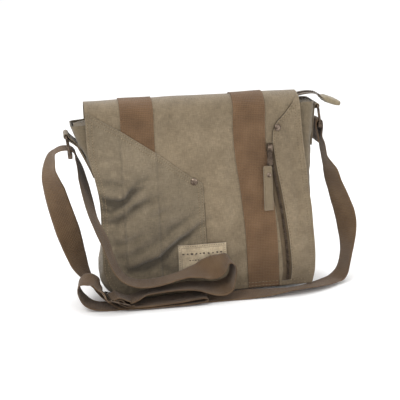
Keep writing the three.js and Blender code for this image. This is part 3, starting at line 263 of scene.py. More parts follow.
# Named sizes, in millimetres, as the solids have them
BASE_WIDTH, BASE_DEPTH, ROOF_HEIGHT = 334.0, 85.0, 288.0
CORNER_RADIUS, EDGE_ROUNDING, CANVAS = 40.0, 8.0, 1.6
ROOF_CROWN, LEFT_DROOP, RIGHT_LIFT = 4.0, 8.0, 9.0
FLAP_WIDTH, FLAP_RISE, FLAP_AIR, FLAP_HEM_HEIGHT = 330.0, 22.5, 2.6, 5.0
FLAP_BACK_LENGTH, FLAP_LEFT_CORNER, FLAP_RIGHT_CORNER = 31.0, 52.0, 11.0
DENT_DEPTH, WEBBING_WIDTH, WEBBING_THICKNESS, PANEL_THICKNESS = 5.0, 50.0, 1.5, 1.3
STRAP_WIDTH, STRAP_THICKNESS, GAP = 38.0, 2.0, 0.3
HALF_BASE, HALF_DEPTH, HALF_FLAP = BASE_WIDTH / 2, BASE_DEPTH / 2, FLAP_WIDTH / 2
FLAP_TOP = ROOF_HEIGHT + FLAP_RISE

POUCH_SECTIONS = np.array([
    [0.0, -1.0, 1.0, 1.0, 0.42], [0.14, -1.015, 1.015, 1.0, 0.42], [0.28, -0.975, 1.015, 0.97, 0.4],
    [0.42, -0.955, 1.015, 0.9, 0.38], [0.56, -0.965, 1.02, 0.83, 0.34], [0.68, -1.0, 1.022, 0.77, 0.3],
    [0.79, -1.07, 1.03, 0.71, 0.26], [0.9, -1.15, 1.045, 0.655, 0.22], [1.0, -1.205, 1.06, 0.61, 0.2]])
FLAP_EDGES = np.array([
    [0.0, -1.0, 1.0], [0.03, -1.003, 1.02], [0.09, -1.006, 1.045], [0.19, -1.006, 1.05], [0.32, -1.0, 1.033],
    [0.43, -0.995, 1.018], [0.53, -0.998, 0.994], [0.63, -1.027, 0.975], [0.71, -1.06, 0.957],
    [0.78, -1.08, 0.945], [0.89, -1.083, 0.93], [1.0, -1.082, 0.918]])
FLAP_FOLD = [[1.1, 0.12], [0.93, 0.58], [0.52, 0.9], [-0.06, 1.0], [-0.58, 0.88], [-1.0, 0.5], [-1.16, -0.05]]
FLAP_DENTS = [
    [-0.9, 0.6, 0.2, 0.07, -10, -0.8], [-0.85, 0.5, 0.18, 0.07, -12, -0.7],
    [-0.42, 0.32, 0.42, 0.08, 38, -0.8],
    [-0.42, 0.19, 0.4, 0.07, 5, -0.5], [-0.6, 0.42, 0.25, 0.12, 30, 0.7], [0.1, 0.45, 0.5, 0.4, 0, 0.5],
    [0.75, 0.3, 0.2, 0.4, 0, 0.6], [-0.2, 0.75, 0.5, 0.15, 10, 0.35]]
LEFT_WEBBING_LINE = np.array([[0, -0.605], [0.45, -0.615], [0.85, -0.615], [1.1, -0.612]])
RIGHT_WEBBING_LINE = np.array([[0, 0.536], [0.32, 0.515], [0.53, 0.48], [0.785, 0.43], [1.1, 0.442]])
ZIP_LINE = np.array([[0.045, 0.765], [0.11, 0.775], [0.245, 0.755], [0.38, 0.727], [0.51, 0.69],
                     [0.645, 0.645],
                     [0.765, 0.614]])


def table_value(table, place, column):
    place = np.clip(np.asarray(place, dtype=float), table[0, 0], table[-1, 0])
    xs, ys = table[:, 0], table[:, column]
    slopes = np.empty_like(ys)
    slopes[1:-1] = (ys[2:] - ys[:-2]) / (xs[2:] - xs[:-2])
    slopes[0] = (ys[1] - ys[0]) / (xs[1] - xs[0])
    slopes[-1] = (ys[-1] - ys[-2]) / (xs[-1] - xs[-2])
    k = np.clip(np.searchsorted(xs, place, side="right") - 1, 0, len(xs) - 2)
    span = xs[k + 1] - xs[k]
    s = (place - xs[k]) / span
    s2, s3 = s * s, s * s * s
    return ((2 * s3 - 3 * s2 + 1) * ys[k] + (s3 - 2 * s2 + s) * span * slopes[k]
            + (3 * s2 - 2 * s3) * ys[k + 1] + (s3 - s2) * span * slopes[k + 1])


# The run along points, from 0
def run_along(points):
    steps = np.linalg.norm(np.diff(points, axis=0), axis=1)
    return np.concatenate([[0], np.cumsum(steps)])


def smooth_step(low, high, value):
    s = np.clip((np.asarray(value, dtype=float) - low) / (high - low), 0.0, 1.0)
    return s * s * (3 - 2 * s)


def corner_inset(radius, height):
    h = np.minimum(height, radius)
    return radius - np.sqrt(np.maximum(radius * radius - (radius - h) ** 2, 0.0))


def pouch_half_depth(height):
    return HALF_DEPTH * table_value(POUCH_SECTIONS, np.asarray(height) / ROOF_HEIGHT, 3)


def pouch_side(height, side):
    full = HALF_BASE * table_value(POUCH_SECTIONS, np.asarray(height) / ROOF_HEIGHT, 1 if side < 0 else 2)
    return full - side * corner_inset(CORNER_RADIUS, height)


def rim_shift(x):
    droop = LEFT_DROOP * smooth_step(0.7 * HALF_BASE, 1.2 * HALF_BASE, -np.asarray(x, dtype=float))
    return RIGHT_LIFT * smooth_step(0.3 * HALF_BASE, HALF_BASE, x) - droop


# Smooth noise over points, from sums of waves with fixed phases
def waves(a, b, size, seed, count=14):
    rng = np.random.default_rng(seed)
    total = np.zeros_like(a, dtype=float)
    for _ in range(count):
        angle = rng.uniform(0, 2 * math.pi)
        length = size * rng.uniform(0.6, 1.7)
        phase = rng.uniform(0, 2 * math.pi)
        total += np.sin((a * math.cos(angle) + b * math.sin(angle)) * 2 * math.pi / length + phase)
    return total / math.sqrt(count)


# Distance from points to a bent line, with the place along it from 0 to 1
def line_distance(a, b, line):
    best = np.full(a.shape, 1e9)
    along = np.zeros(a.shape)
    lengths = [math.dist(p, q) for p, q in zip(line, line[1:])]
    total, done = sum(lengths), 0.0
    for (p, q), length in zip(zip(line, line[1:]), lengths):
        dx, dz = q[0] - p[0], q[1] - p[1]
        s = np.clip(((a - p[0]) * dx + (b - p[1]) * dz) / (length * length), 0, 1)
        d = np.hypot(a - p[0] - s * dx, b - p[1] - s * dz)
        nearer = d < best
        best = np.where(nearer, d, best)
        along = np.where(nearer, (done + s * length) / total, along)
        done += length
    return best, along


# A mesh from points in millimetres. Faces are turned outward by the sign of the volume.
def add_mesh(name, points, faces, uv=None, shade=None, material=None, closed=True):
    points = np.asarray(points, dtype=float)
    faces = [tuple(int(i) for i in face) for face in faces]
    used = np.unique(np.concatenate([np.array(face) for face in faces]))
    renumber = np.full(len(points), -1)
    renumber[used] = np.arange(len(used))
    points = points[used]
    faces = [tuple(int(renumber[i]) for i in face) for face in faces]
    uv = np.zeros((len(used), 2)) if uv is None else np.asarray(uv)[used]
    shade = np.ones((len(used), 1)) if shade is None else np.asarray(shade, dtype=float)[used]
    if shade.ndim == 1:
        shade = shade[:, None]
    if closed:
        volume = 0.0
        for face in faces:
            first = points[face[0]]
            for k in range(1, len(face) - 1):
                volume += np.dot(first, np.cross(points[face[k]], points[face[k + 1]]))
        if volume < 0:
            faces = [face[::-1] for face in faces]
    mesh = bpy.data.meshes.new(name)
    mesh.from_pydata((points * MM).tolist(), [], faces)
    mesh.validate()
    mesh.polygons.foreach_set("use_smooth", [True] * len(mesh.polygons))
    corner_points = np.empty(len(mesh.loops), dtype=np.int64)
    mesh.loops.foreach_get("vertex_index", corner_points)
    layer = mesh.uv_layers.new(name="UVMap")
    layer.data.foreach_set("uv", (uv * MM)[corner_points].astype(np.float32).ravel())
    colours = np.ones((len(points), 4), dtype=np.float32)
    colours[:, :3] = shade
    attribute = mesh.color_attributes.new("shade", "FLOAT_COLOR", "POINT")
    attribute.data.foreach_set("color", colours.ravel())
    piece = bpy.data.objects.new(name, mesh)
    bpy.context.scene.collection.objects.link(piece)
    if material is not None:
        mesh.materials.append(material)
    return piece


# A sheet with thickness from two grids of the same size. Cells that keep is false for are left open.
def slab_mesh(name, outer, inner, uv, shade, material, keep=None):
    rows, columns = outer.shape[:2]
    count = rows * columns
    index = np.arange(count).reshape(rows, columns)
    quads = np.stack([index[:-1, :-1], index[:-1, 1:], index[1:, 1:], index[1:, :-1]], -1)
    quads = quads.reshape(-1, 4) if keep is None else quads[keep]
    starts = quads.ravel()
    ends = np.roll(quads, -1, axis=1).ravel()
    single = ~np.isin(starts * count + ends, ends * count + starts)
    side = np.stack([ends[single], starts[single], starts[single] + count, ends[single] + count], 1)
    faces = np.concatenate([quads, quads[:, ::-1] + count, side])
    points = np.concatenate([outer.reshape(-1, 3), inner.reshape(-1, 3)])
    tone = np.asarray(shade, dtype=float).reshape(count, -1)
    # The inner side gets the shade times 0.85, as painted shade
    return add_mesh(name, points, faces, np.concatenate([uv.reshape(-1, 2)] * 2),
                    np.concatenate([tone, tone * 0.85]), material)


# Closed sections joined along their length, with a flat cap at each end unless the tube is a ring
def tube_mesh(name, sections, uv=None, shade=None, material=None, ring=False):
    rows, around = sections.shape[:2]
    index = np.arange(rows * around).reshape(rows, around)
    faces = []
    for i in range(rows if ring else rows - 1):
        a, b = index[i], index[(i + 1) % rows]
        faces += [(a[j], a[(j + 1) % around], b[(j + 1) % around], b[j]) for j in range(around)]
    if not ring:
        faces += [tuple(index[0][::-1]), tuple(index[-1])]
    uv = None if uv is None else uv.reshape(-1, 2)
    shade = None if shade is None else shade.reshape(rows * around, -1)
    return add_mesh(name, sections.reshape(-1, 3), faces, uv, shade, material)


# The flap's profile, from the hem on the back over the roof to the hem in front
def flap_profile():
    roof_half = float(pouch_half_depth(ROOF_HEIGHT))
    rows = []
    for share in (1, 0.5, 0.1):
        z = ROOF_HEIGHT - FLAP_BACK_LENGTH * share
        rows.append([float(pouch_half_depth(z)) + 0.5, z])
    rows += [[depth * roof_half, ROOF_HEIGHT + rise * FLAP_RISE] for depth, rise in FLAP_FOLD]
    for share in (0.94, 0.87, 0.8, 0.72, 0.64, 0.56, 0.48, 0.4, 0.32, 0.24, 0.17, 0.1):
        z = FLAP_HEM_HEIGHT + (ROOF_HEIGHT - FLAP_HEM_HEIGHT) * share
        rows.append([-float(pouch_half_depth(z)) - FLAP_AIR, z])
    hem = -float(pouch_half_depth(0.1 * ROOF_HEIGHT)) - FLAP_AIR
    rows.append([hem, 0.5 * (FLAP_HEM_HEIGHT + 0.1 * ROOF_HEIGHT)])
    rows.append([hem, FLAP_HEM_HEIGHT])
    return np.array(rows)


PROFILE = flap_profile()


def dense_profile(rows, per_row=12):
    out = []
    count = len(rows)
    for k in range(count - 1):
        p0, p1 = rows[max(k - 1, 0)], rows[k]
        p2, p3 = rows[k + 1], rows[min(k + 2, count - 1)]
        for j in range(per_row):
            s = j / per_row
            out.append(0.5 * (2 * p1 + (p2 - p0) * s + (2 * p0 - 5 * p1 + 4 * p2 - p3) * s * s
                              + (3 * p1 - p0 - 3 * p2 + p3) * s ** 3))
    out.append(rows[-1])
    return np.array(out)


DENSE = dense_profile(PROFILE)
DENSE_RUN = run_along(DENSE)
TOP_AT = int(np.argmax(DENSE[:, 1]))
RUN_TOP, RUN_END = DENSE_RUN[TOP_AT], DENSE_RUN[-1]
tangents = np.gradient(DENSE, DENSE_RUN, axis=0)
DENSE_NORMAL = np.stack([tangents[:, 1], -tangents[:, 0]], 1)
DENSE_NORMAL /= np.linalg.norm(DENSE_NORMAL, axis=1, keepdims=True)
if DENSE_NORMAL[-10, 0] > 0:
    DENSE_NORMAL = -DENSE_NORMAL


# The distance along the profile where the front is at a height
def run_at(z):
    front_z = DENSE[TOP_AT:, 1][::-1]
    front_run = DENSE_RUN[TOP_AT:][::-1]
    return np.interp(z, front_z, front_run)


def edge_at(z, side):
    x = HALF_FLAP * table_value(FLAP_EDGES, np.asarray(z) / FLAP_TOP, 1 if side < 0 else 2)
    radius = FLAP_LEFT_CORNER if side < 0 else FLAP_RIGHT_CORNER
    base = HALF_FLAP * (FLAP_EDGES[1, 1] if side < 0 else FLAP_EDGES[2, 2])
    below = np.clip(FLAP_HEM_HEIGHT - 2 + radius - z, 0, radius * 0.9995)
    corner = base - side * (radius - np.sqrt(radius * radius - below * below))
    return np.where(below > 0, corner if side < 0 else np.minimum(x, corner), x)


# Folds of the flap: a bent line over the front, its reach and its depth, in millimetres. Minus is a valley.
FOLDS = [
    ([(-163, 170), (-150, 161), (-135, 157), (-124, 163), (-116, 173), (-98, 181)], 5.0, -6.0),
    ([(-170, 186), (-156, 178), (-136, 172), (-120, 182)], 6.0, 2.6),
    ([(-160, 131), (-142, 130), (-126, 137), (-112, 150), (-88, 161), (-70, 168)], 6.0, -4.6),
    ([(-158, 146), (-138, 145), (-122, 154), (-100, 168)], 5.5, 2.4),
    ([(-152, 97), (-135, 94), (-118, 97), (-100, 108)], 7.0, -2.6),
    ([(-150, 112), (-130, 110), (-112, 118)], 7.0, 1.8),
    ([(2, 124), (-14, 113), (-30, 100), (-45, 92), (-55, 83), (-70, 69), (-88, 60), (-104, 54), (-124, 50)],
     5.5, -6.4),
    ([(-16, 126), (-38, 112), (-58, 97), (-78, 82), (-104, 70)], 7.0, 3.0),
    ([(-80, 58), (-62, 46), (-46, 42)], 6.5, -2.6),
    ([(-86, 176), (-60, 168), (-36, 172)], 8.0, 1.4),
    ([(-64, 150), (-40, 146), (-16, 152)], 7.0, -1.5),
    ([(-118, 206), (-96, 200), (-70, 206)], 8.0, -1.4),
    ([(-122, 150), (-126, 118), (-122, 84)], 4.0, 1.1),
    ([(-74, 200), (-72, 150), (-66, 95), (-58, 50)], 3.0, 0.7),
    ([(-164, 152), (-150, 146), (-138, 150)], 4.0, -3.4),
    ([(-118, 176), (-104, 190), (-84, 196)], 5.0, -2.6),
    ([(-146, 200), (-130, 196), (-114, 200)], 5.0, 1.6),
    ([(-104, 142), (-84, 150), (-58, 152)], 5.0, 2.0),
    ([(-92, 132), (-70, 140), (-44, 138)], 4.5, -2.4),
    ([(-140, 72), (-120, 76), (-100, 88)], 6.0, -2.4),
    ([(-132, 60), (-112, 64), (-92, 76)], 6.0, 1.8),
    ([(-60, 112), (-40, 120), (-22, 132)], 5.0, -1.8),
    ([(20, 250), (24, 180), (30, 110)], 12.0, 1.0),
    ([(40, 232), (36, 170), (44, 120)], 5.0, -0.9),
    ([(150, 240), (158, 160), (160, 90)], 8.0, 1.0),
    ([(138, 190), (146, 130), (140, 70)], 6.0, -1.2),
    ([(-100, 306), (-96, 280), (-100, 250)], 14.0, 0.9),
    ([(110, 300), (122, 262), (140, 230)], 10.0, -1.3),
]


# How far the pouch's front gives way behind the flap's folds, from 0 to 1
def front_room(z):
    return smooth_step(0.0, 30.0, z) * (1 - smooth_step(ROOF_HEIGHT - 34, ROOF_HEIGHT - 6, z))


# The slack lower left part of the flap, from 0 to 1
def soft_corner(x, z):
    return (1 - smooth_step(-70, 10, x)) * (1 - smooth_step(130, 220, z))


def flap_relief(x, z):
    total = np.zeros_like(x, dtype=float)
    for across, up, long, short, slope, depth in FLAP_DENTS:
        angle = math.radians(slope)
        dx, dz = x - across * HALF_FLAP, z - up * FLAP_TOP
        u = (dx * math.cos(angle) + dz * math.sin(angle)) / (long * HALF_FLAP)
        v = (dz * math.cos(angle) - dx * math.sin(angle)) / (short * HALF_FLAP)
        total += depth * DENT_DEPTH * np.exp(-u * u - v * v)
    total = np.maximum(total, -FLAP_AIR)
    for line, reach, depth in FOLDS:
        d, along = line_distance(x, z, line)
        fade = np.sin(np.clip(along, 0.03, 0.97) * math.pi) ** 0.4
        total += depth * fade * np.exp(-(d / reach) ** 2)
    low_left = soft_corner(x, z)
    total += 0.45 * waves(x, z, 70, 3) + (0.2 + 0.35 * low_left) * waves(x, z, 24, 4)
    total += 0.16 * low_left * waves(x, z, 10, 5)
    return total


def flap_surface(run, x, lift):
    run, x, lift = np.broadcast_arrays(np.asarray(run, dtype=float), x, lift)
    y = np.interp(run, DENSE_RUN, DENSE[:, 0])
    z = np.interp(run, DENSE_RUN, DENSE[:, 1])
    ny = np.interp(run, DENSE_RUN, DENSE_NORMAL[:, 0])
    nz = np.interp(run, DENSE_RUN, DENSE_NORMAL[:, 1])
    front = smooth_step(RUN_TOP, RUN_TOP + 30, run)
    relief = flap_relief(x, z) * front + (1 - front) * (0.5 * waves(x, run, 55, 9) + 0.4)
    room = front_room(z)
    out = lift + np.maximum(relief, 0.1 - FLAP_AIR - 3.0 * room)
    return np.stack([x, y + ny * out, z + nz * out], -1)


def front_point(x, z, lift):
    return flap_surface(run_at(z), x, lift)


# Painted shade in the valleys of the folds and painted highlight on the swellings, with painted shade over
# the slack lower left corner and towards the bottom
def fold_shade_and_highlight(x, z):
    relief = flap_relief(x, z)
    hollow = np.clip(-relief - 0.8, 0, 5)
    tone = np.clip(1.0 + 0.055 * np.clip(relief, 0, 3) - 0.14 * hollow, 0.4, 1.16)
    return tone * (1 - 0.17 * soft_corner(x, z)) * (1 - 0.12 * (1 - smooth_step(10, 90, z)))


# A finished piece on the part's body, and in place of its solid where it has one
def dress(piece, node=None):
    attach(piece, "root")
    if node is not None:
        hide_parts(node)


# Materials. Colours are what an even light shows on the cloth.
CANVAS_BASE, CANVAS_DARK, CANVAS_LIGHT = srgb(121, 107, 86), srgb(99, 86, 67), srgb(141, 126, 104)
BODY_BASE, BODY_DARK, BODY_LIGHT = srgb(108, 96, 77), srgb(88, 77, 60), srgb(127, 114, 93)
POCKET_BASE, POCKET_DARK, POCKET_LIGHT = srgb(114, 102, 83), srgb(93, 82, 65), srgb(134, 121, 101)
WEB_BASE, WEB_DARK, WEB_LIGHT = srgb(106, 81, 57), srgb(88, 66, 45), srgb(122, 97, 72)
STRAP_BASE, STRAP_DARK, STRAP_LIGHT = srgb(101, 79, 56), srgb(80, 61, 42), srgb(119, 97, 72)
looks = {
    "canvas": canvas_material("canvas_look", BODY_BASE, BODY_DARK, BODY_LIGHT),
    "flap_canvas": canvas_material("flap_canvas_look", CANVAS_BASE, CANVAS_DARK, CANVAS_LIGHT),
    "pocket_canvas": canvas_material("pocket_canvas_look", POCKET_BASE, POCKET_DARK, POCKET_LIGHT),
    "panel_canvas": canvas_material("panel_canvas_look", CANVAS_BASE, CANVAS_DARK, CANVAS_LIGHT),
    "webbing": webbing_material("webbing_look", WEB_BASE, WEB_DARK, WEB_LIGHT),
    "strap": webbing_material("strap_look", STRAP_BASE, STRAP_DARK, STRAP_LIGHT),
    "tape": canvas_material("tape_look", srgb(82, 68, 50), srgb(64, 52, 38), srgb(98, 83, 63), thread=0.0007),
    "label": canvas_material("label_look", srgb(180, 164, 138), srgb(157, 140, 115), srgb(200, 186, 162)),
    "thread": canvas_material("thread_look", srgb(150, 131, 104), srgb(126, 108, 84), srgb(170, 152, 125)),
    # seam: dark canvas for the painted shade bands along seams and raised edges, and also the pull tab's
    # thread
    "seam": canvas_material("seam_shade_and_thread_look", srgb(96, 82, 61), srgb(80, 67, 49), srgb(112, 97, 74)),
    "ink": canvas_material("ink_look", srgb(74, 62, 50), srgb(52, 43, 34), srgb(112, 98, 80)),
    "metal": metal_material("metal_look", srgb(104, 90, 78), srgb(58, 49, 42), 0.34),
    # A lighter copy of the metal for the slider and rivets, painted brighter as painted highlight
    "highlight_metal": metal_material("highlight_metal_look", srgb(138, 122, 108), srgb(70, 58, 49), 0.27),
    "cap": canvas_material("cap_look", srgb(136, 124, 101), srgb(112, 101, 81), srgb(158, 146, 122)),
}


# The pouch: one plan section at a height, as a closed loop
def pouch_loop(height, inset, raise_by):
    left = float(pouch_side(height, -1)) + inset
    right = float(pouch_side(height, 1)) - inset
    half = float(pouch_half_depth(height) - corner_inset(EDGE_ROUNDING, height)) - inset
    corner = max(HALF_DEPTH * float(table_value(POUCH_SECTIONS, height / ROOF_HEIGHT, 4)) - inset, 2)
    loop = []

    def line(x0, y0, x1, y1, steps):
        for k in range(steps):
            loop.append((x0 + (x1 - x0) * k / steps, y0 + (y1 - y0) * k / steps))

    def arc(cx, cy, start, steps=9):
        for k in range(steps):
            angle = start + k / steps * math.pi / 2
            loop.append((cx + corner * math.cos(angle), cy + corner * math.sin(angle)))

    line(left + corner, -half, right - corner, -half, 120)
    arc(right - corner, -half + corner, -math.pi / 2)
    line(right, -half + corner, right, half - corner, 22)
    arc(right - corner, half - corner, 0)
    line(right - corner, half, left + corner, half, 120)
    arc(left + corner, half - corner, math.pi / 2)
    line(left, half - corner, left, -half + corner, 22)
    arc(left + corner, -half + corner, math.pi)
    loop = np.array(loop)
    z = raise_by + height * (1 - raise_by / ROOF_HEIGHT)
    heights = np.full(len(loop), z) + rim_shift(loop[:, 0]) * (z / ROOF_HEIGHT) ** 4
    return np.column_stack([loop, heights])


def make_body():
    shares = np.concatenate([[0, 0.004, 0.013, 0.025, 0.04], np.linspace(0.055, 0.985, 84), [0.992, 1.0]])
    outer = np.array([pouch_loop(share * ROOF_HEIGHT, 0, 0) for share in shares])
    inner = np.array([pouch_loop(share * ROOF_HEIGHT, CANVAS, CANVAS) for share in shares])
    around = np.roll(outer, -1, 1) - np.roll(outer, 1, 1)
    normal = np.stack([around[..., 1], -around[..., 0], np.zeros(around.shape[:2])], -1)
    normal /= np.linalg.norm(normal, axis=-1, keepdims=True)
    x, y, z = outer[..., 0], outer[..., 1], outer[..., 2]
    hold = front_room(z)
    facing = np.clip(-normal[..., 1], 0, 1)
    back = np.clip(normal[..., 1], 0, 1)
    side = 1 - facing - back
    relief = np.clip(flap_relief(x, z), -5.5, 0) + FLAP_AIR - 0.6
    push = np.minimum(relief, 0) * facing * hold
    folds = 1.5 * waves(x * 0.7, z * 1.9, 90, 21) + 0.7 * waves(x, z * 1.4, 38, 22)
    push += back * hold * np.clip(folds, -4.0, 1.8)
    creases = 1.3 * waves(y * 0.6, z * 1.6, 60, 23) + 0.6 * waves(y, z, 26, 24)
    push += np.clip(side, 0, 1) * hold * np.clip(creases, -3.5, 1.0)
    push += 0.25 * waves(x + y, z, 18, 25) * hold * (1 - facing)
    outer = outer + normal * push[..., None]
    inner = inner + normal * push[..., None]
    # Painted shade where the cloth is pushed in and painted highlight where it bulges out, then painted shade
    # towards the bottom
    tone = 1.0 + 0.03 * np.clip(push, -3, 2)
    low = 1 - 0.10 * (1 - smooth_step(0, 26, z))
    run = np.cumsum(np.linalg.norm(np.diff(outer, axis=1, append=outer[:, :1]), axis=-1), axis=1)
    sections = np.concatenate([outer, inner[::-1]])
    uv = np.stack([np.concatenate([run, run[::-1]]), np.concatenate([z, z[::-1]])], -1)
    # The inside of the pouch is painted dark, as painted shade
    shade = np.concatenate([tone * low, 0.55 * np.ones_like(tone)])
    return tube_mesh("bag_body_cloth", sections, uv, shade, looks["canvas"])


body = make_body()
dress(body, "bag_body")


# The flap and the layers sewn on it. Rows run along the flap, columns run across it.
def layer_mesh(name, runs, left, right, lift, thickness, columns, material, bulge=None, shade_and_marks=None):
    across = np.linspace(0, 1, columns)
    run = np.repeat(runs[:, None], columns, 1)
    x = left[:, None] + (right - left)[:, None] * across
    z = np.interp(run, DENSE_RUN, DENSE[:, 1])
    base = lift + (0 if bulge is None else bulge(x, z, run))
    outer = flap_surface(run, x, base + thickness)
    inner = flap_surface(run, x, base)
    front = smooth_step(RUN_TOP, RUN_TOP + 30, run)
    shade = 1 + (fold_shade_and_highlight(x, z) - 1) * front
    edge = np.minimum(np.minimum(x - left[:, None], right[:, None] - x), RUN_END - run)
    # Lighter along the cut edges: partly rubbed wear, partly painted highlight on the raised edge
    worn = np.exp(-(edge / 1.6) ** 2)
    shade = shade * (1 + 0.14 * worn)
    # Multiplies in the layer's painted shade and its own marks
    if shade_and_marks is not None:
        shade = shade * shade_and_marks(x, z)
    return slab_mesh(name, outer, inner, np.stack([x, run], -1), shade, material)


def flap_left(z):
    return edge_at(z, -1)


def flap_right(z):
    return edge_at(z, 1)


def height_at(runs):
    return np.interp(runs, DENSE_RUN, DENSE[:, 1])


def line_at(line, z):
    return HALF_FLAP * table_value(line, np.asarray(z) / FLAP_TOP, 1)


def make_flap():
    runs = np.concatenate([np.linspace(0, RUN_END - 6, 196), np.linspace(RUN_END - 5, RUN_END, 5)])
    z = height_at(runs)

    def hem(x, zz, run):
        left, right = flap_left(zz), flap_right(zz)
        edge = np.minimum(np.minimum(x - left, right - x), np.minimum(run, RUN_END - run))
        return 0.45 * (1 - smooth_step(8.5, 10.5, edge)) * smooth_step(RUN_TOP + 5, RUN_TOP + 25, run)

    return layer_mesh("flap_cloth", runs, flap_left(z), flap_right(z), 0.0, CANVAS, 236,
                      looks["flap_canvas"], hem)


flap = make_flap()
dress(flap, "flap")

# How far each layer stands off the flap's lining side
WEBBING_LIFT = CANVAS + GAP
POCKET_LIFT, PANEL_LIFT = WEBBING_LIFT + 0.15, WEBBING_LIFT + 1.25
POCKET_TOP_LIFT, PANEL_TOP_LIFT = POCKET_LIFT + PANEL_THICKNESS, PANEL_LIFT + PANEL_THICKNESS


def make_webbing(name, line, node):
    runs = np.linspace(1.0, RUN_END - 1.0, 300)
    centre = line_at(line, height_at(runs))
    half = WEBBING_WIDTH / 2
    piece = layer_mesh(name, runs, centre - half, centre + half, WEBBING_LIFT, WEBBING_THICKNESS, 44,
                       looks["webbing"])
    dress(piece, node)
    return piece


make_webbing("webbing_left_band", LEFT_WEBBING_LINE, "webbing_left")
make_webbing("webbing_right_band", RIGHT_WEBBING_LINE, "webbing_right")


# How far a panel stands over the webbing below it
def over_webbing(line):
    def bulge(x, z, run):
        away = np.abs(x - line_at(line, z)) - WEBBING_WIDTH / 2
        return (WEBBING_THICKNESS + GAP) * (1 - smooth_step(-1.0, 3.5, away))
    return bulge


POCKET_TOP = np.array([[-1.3, 1.03], [-1.055, 0.96], [-0.76, 0.865], [-0.45, 0.75], [-0.13, 0.615],
                       [-0.03, 0.585]])


def pocket_right(z):
    slanted = np.interp(z / FLAP_TOP, POCKET_TOP[::-1, 1], POCKET_TOP[::-1, 0]) * HALF_FLAP
    seam = np.interp(z / FLAP_TOP, [0.028, 0.28, 0.585], [-0.02, -0.015, -0.03]) * HALF_FLAP
    return np.where(z / FLAP_TOP > 0.585, slanted, seam)


# Plain worn bars down the pocket's left side, and the webbing showing through as a ridge, with painted shade
# just outside its edges and painted highlight just inside
def pocket_wear_and_shade(x, z):
    tone = np.ones_like(x)
    worn = 0.5 + 0.5 * np.tanh(2.2 * waves(x, z, 13, 51))
    for across, up, long, high in ((-147, 238, 15, 5), (-145, 221, 17, 5), (-147, 205, 11, 5),
                                   (-144, 187, 18, 5),
                                   (-145, 168, 14, 5), (-141, 122, 16, 5), (-139, 105, 12, 5),
                                   (-137, 88, 17, 5)):
        inside = (1 - smooth_step(high - 1.5, high + 1.5, np.abs(z - up))) * (1 - smooth_step(
            long - 1.5, long + 1.5, np.abs(x - across)))
        tone += 0.2 * inside * worn
    away = np.abs(x - line_at(LEFT_WEBBING_LINE, z)) - WEBBING_WIDTH / 2
    return tone * (1 - 0.13 * np.exp(-((away - 2.2) / 1.7) ** 2) + 0.05 * np.exp(-((away + 1.5) / 2.0) ** 2))


def make_pocket():
    heights = np.linspace(0.9582 * FLAP_TOP, FLAP_HEM_HEIGHT + 1.2, 196)
    left = flap_left(heights) + 0.8
    right = np.maximum(pocket_right(heights), left + 0.4)
    lift = over_webbing(LEFT_WEBBING_LINE)
    return layer_mesh("pocket_left_cloth", run_at(heights), left, right, POCKET_LIFT, PANEL_THICKNESS, 140,
                      looks["pocket_canvas"], lift, pocket_wear_and_shade)


pocket = make_pocket()
dress(pocket, "pocket_left")

ZIP_BOTTOM, ZIP_TOP = ZIP_LINE[0, 0] * FLAP_TOP, ZIP_LINE[-1, 0] * FLAP_TOP
ZIP_TAPE_REACH, ZIP_PANEL_REACH, ZIP_TAPE_THICKNESS, ZIP_SEAM_GAP = 8.0, 6.0, 0.7, 0.9


def right_webbing_edge(z):
    return line_at(RIGHT_WEBBING_LINE, z) + WEBBING_WIDTH / 2


def panel_left(z):
    edge = right_webbing_edge(FLAP_HEM_HEIGHT + 1.5) + 0.5
    beside = line_at(ZIP_LINE, z) + ZIP_PANEL_REACH
    top = np.interp(z / FLAP_TOP, [0.765, 0.82, 0.862, 0.985, 1.06],
                    [0.65, 0.655, 0.69, 0.9, 1.3]) * HALF_FLAP
    return np.where(z < ZIP_BOTTOM, edge, np.where(z > ZIP_TOP, top, beside))


def make_panel():
    heights = np.linspace(0.984 * FLAP_TOP, FLAP_HEM_HEIGHT + 1.0, 200)
    left = panel_left(heights)
    right = np.maximum(flap_right(heights) - 0.6, left + 0.4)
    left = np.minimum(left, right - 0.4)
    return layer_mesh("panel_right_cloth", run_at(heights), left, right, PANEL_LIFT, PANEL_THICKNESS, 56,
                      looks["panel_canvas"])


panel = make_panel()
dress(panel, "panel_right")


def make_tape():
    heights = np.linspace(ZIP_TOP, ZIP_BOTTOM, 190)
    centre = line_at(ZIP_LINE, heights)
    left = np.maximum(centre - ZIP_TAPE_REACH, right_webbing_edge(heights) + ZIP_SEAM_GAP)
    return layer_mesh("flap_zip_tape_cloth", run_at(heights), left, centre + ZIP_TAPE_REACH, CANVAS + GAP,
                      ZIP_TAPE_THICKNESS, 16, looks["tape"])


tape = make_tape()
dress(tape, "flap_zip_tape")


# A frame on the flap at a front place: the point, then across, along (down) and out
def flap_frame(x, z, lift):
    here = front_point(np.array([x]), np.array([z]), lift)[0]
    right = front_point(np.array([x + 1.0]), np.array([z]), lift)[0]
    down = front_point(np.array([x]), np.array([z - 1.0]), lift)[0]
    across = (right - here) / np.linalg.norm(right - here)
    along = down - here
    along = along - across * np.dot(along, across)
    along /= np.linalg.norm(along)
    return here, across, along, np.cross(along, across)


# Many copies of a small shape, each with its own frame, as one joined mesh
def scatter_mesh(name, shape_points, shape_faces, frames, material, shades=None):
    points, faces, tones = [], [], []
    for k, (origin, across, along, out) in enumerate(frames):
        start = len(points) * len(shape_points)
        points.append(origin + shape_points @ np.stack([across, along, out]))
        faces += [tuple(start + i for i in face) for face in shape_faces]
        tones.append(np.full(len(shape_points), 1.0 if shades is None else shades[k]))
    return add_mesh(name, np.concatenate(points), faces, None, np.concatenate(tones), material)


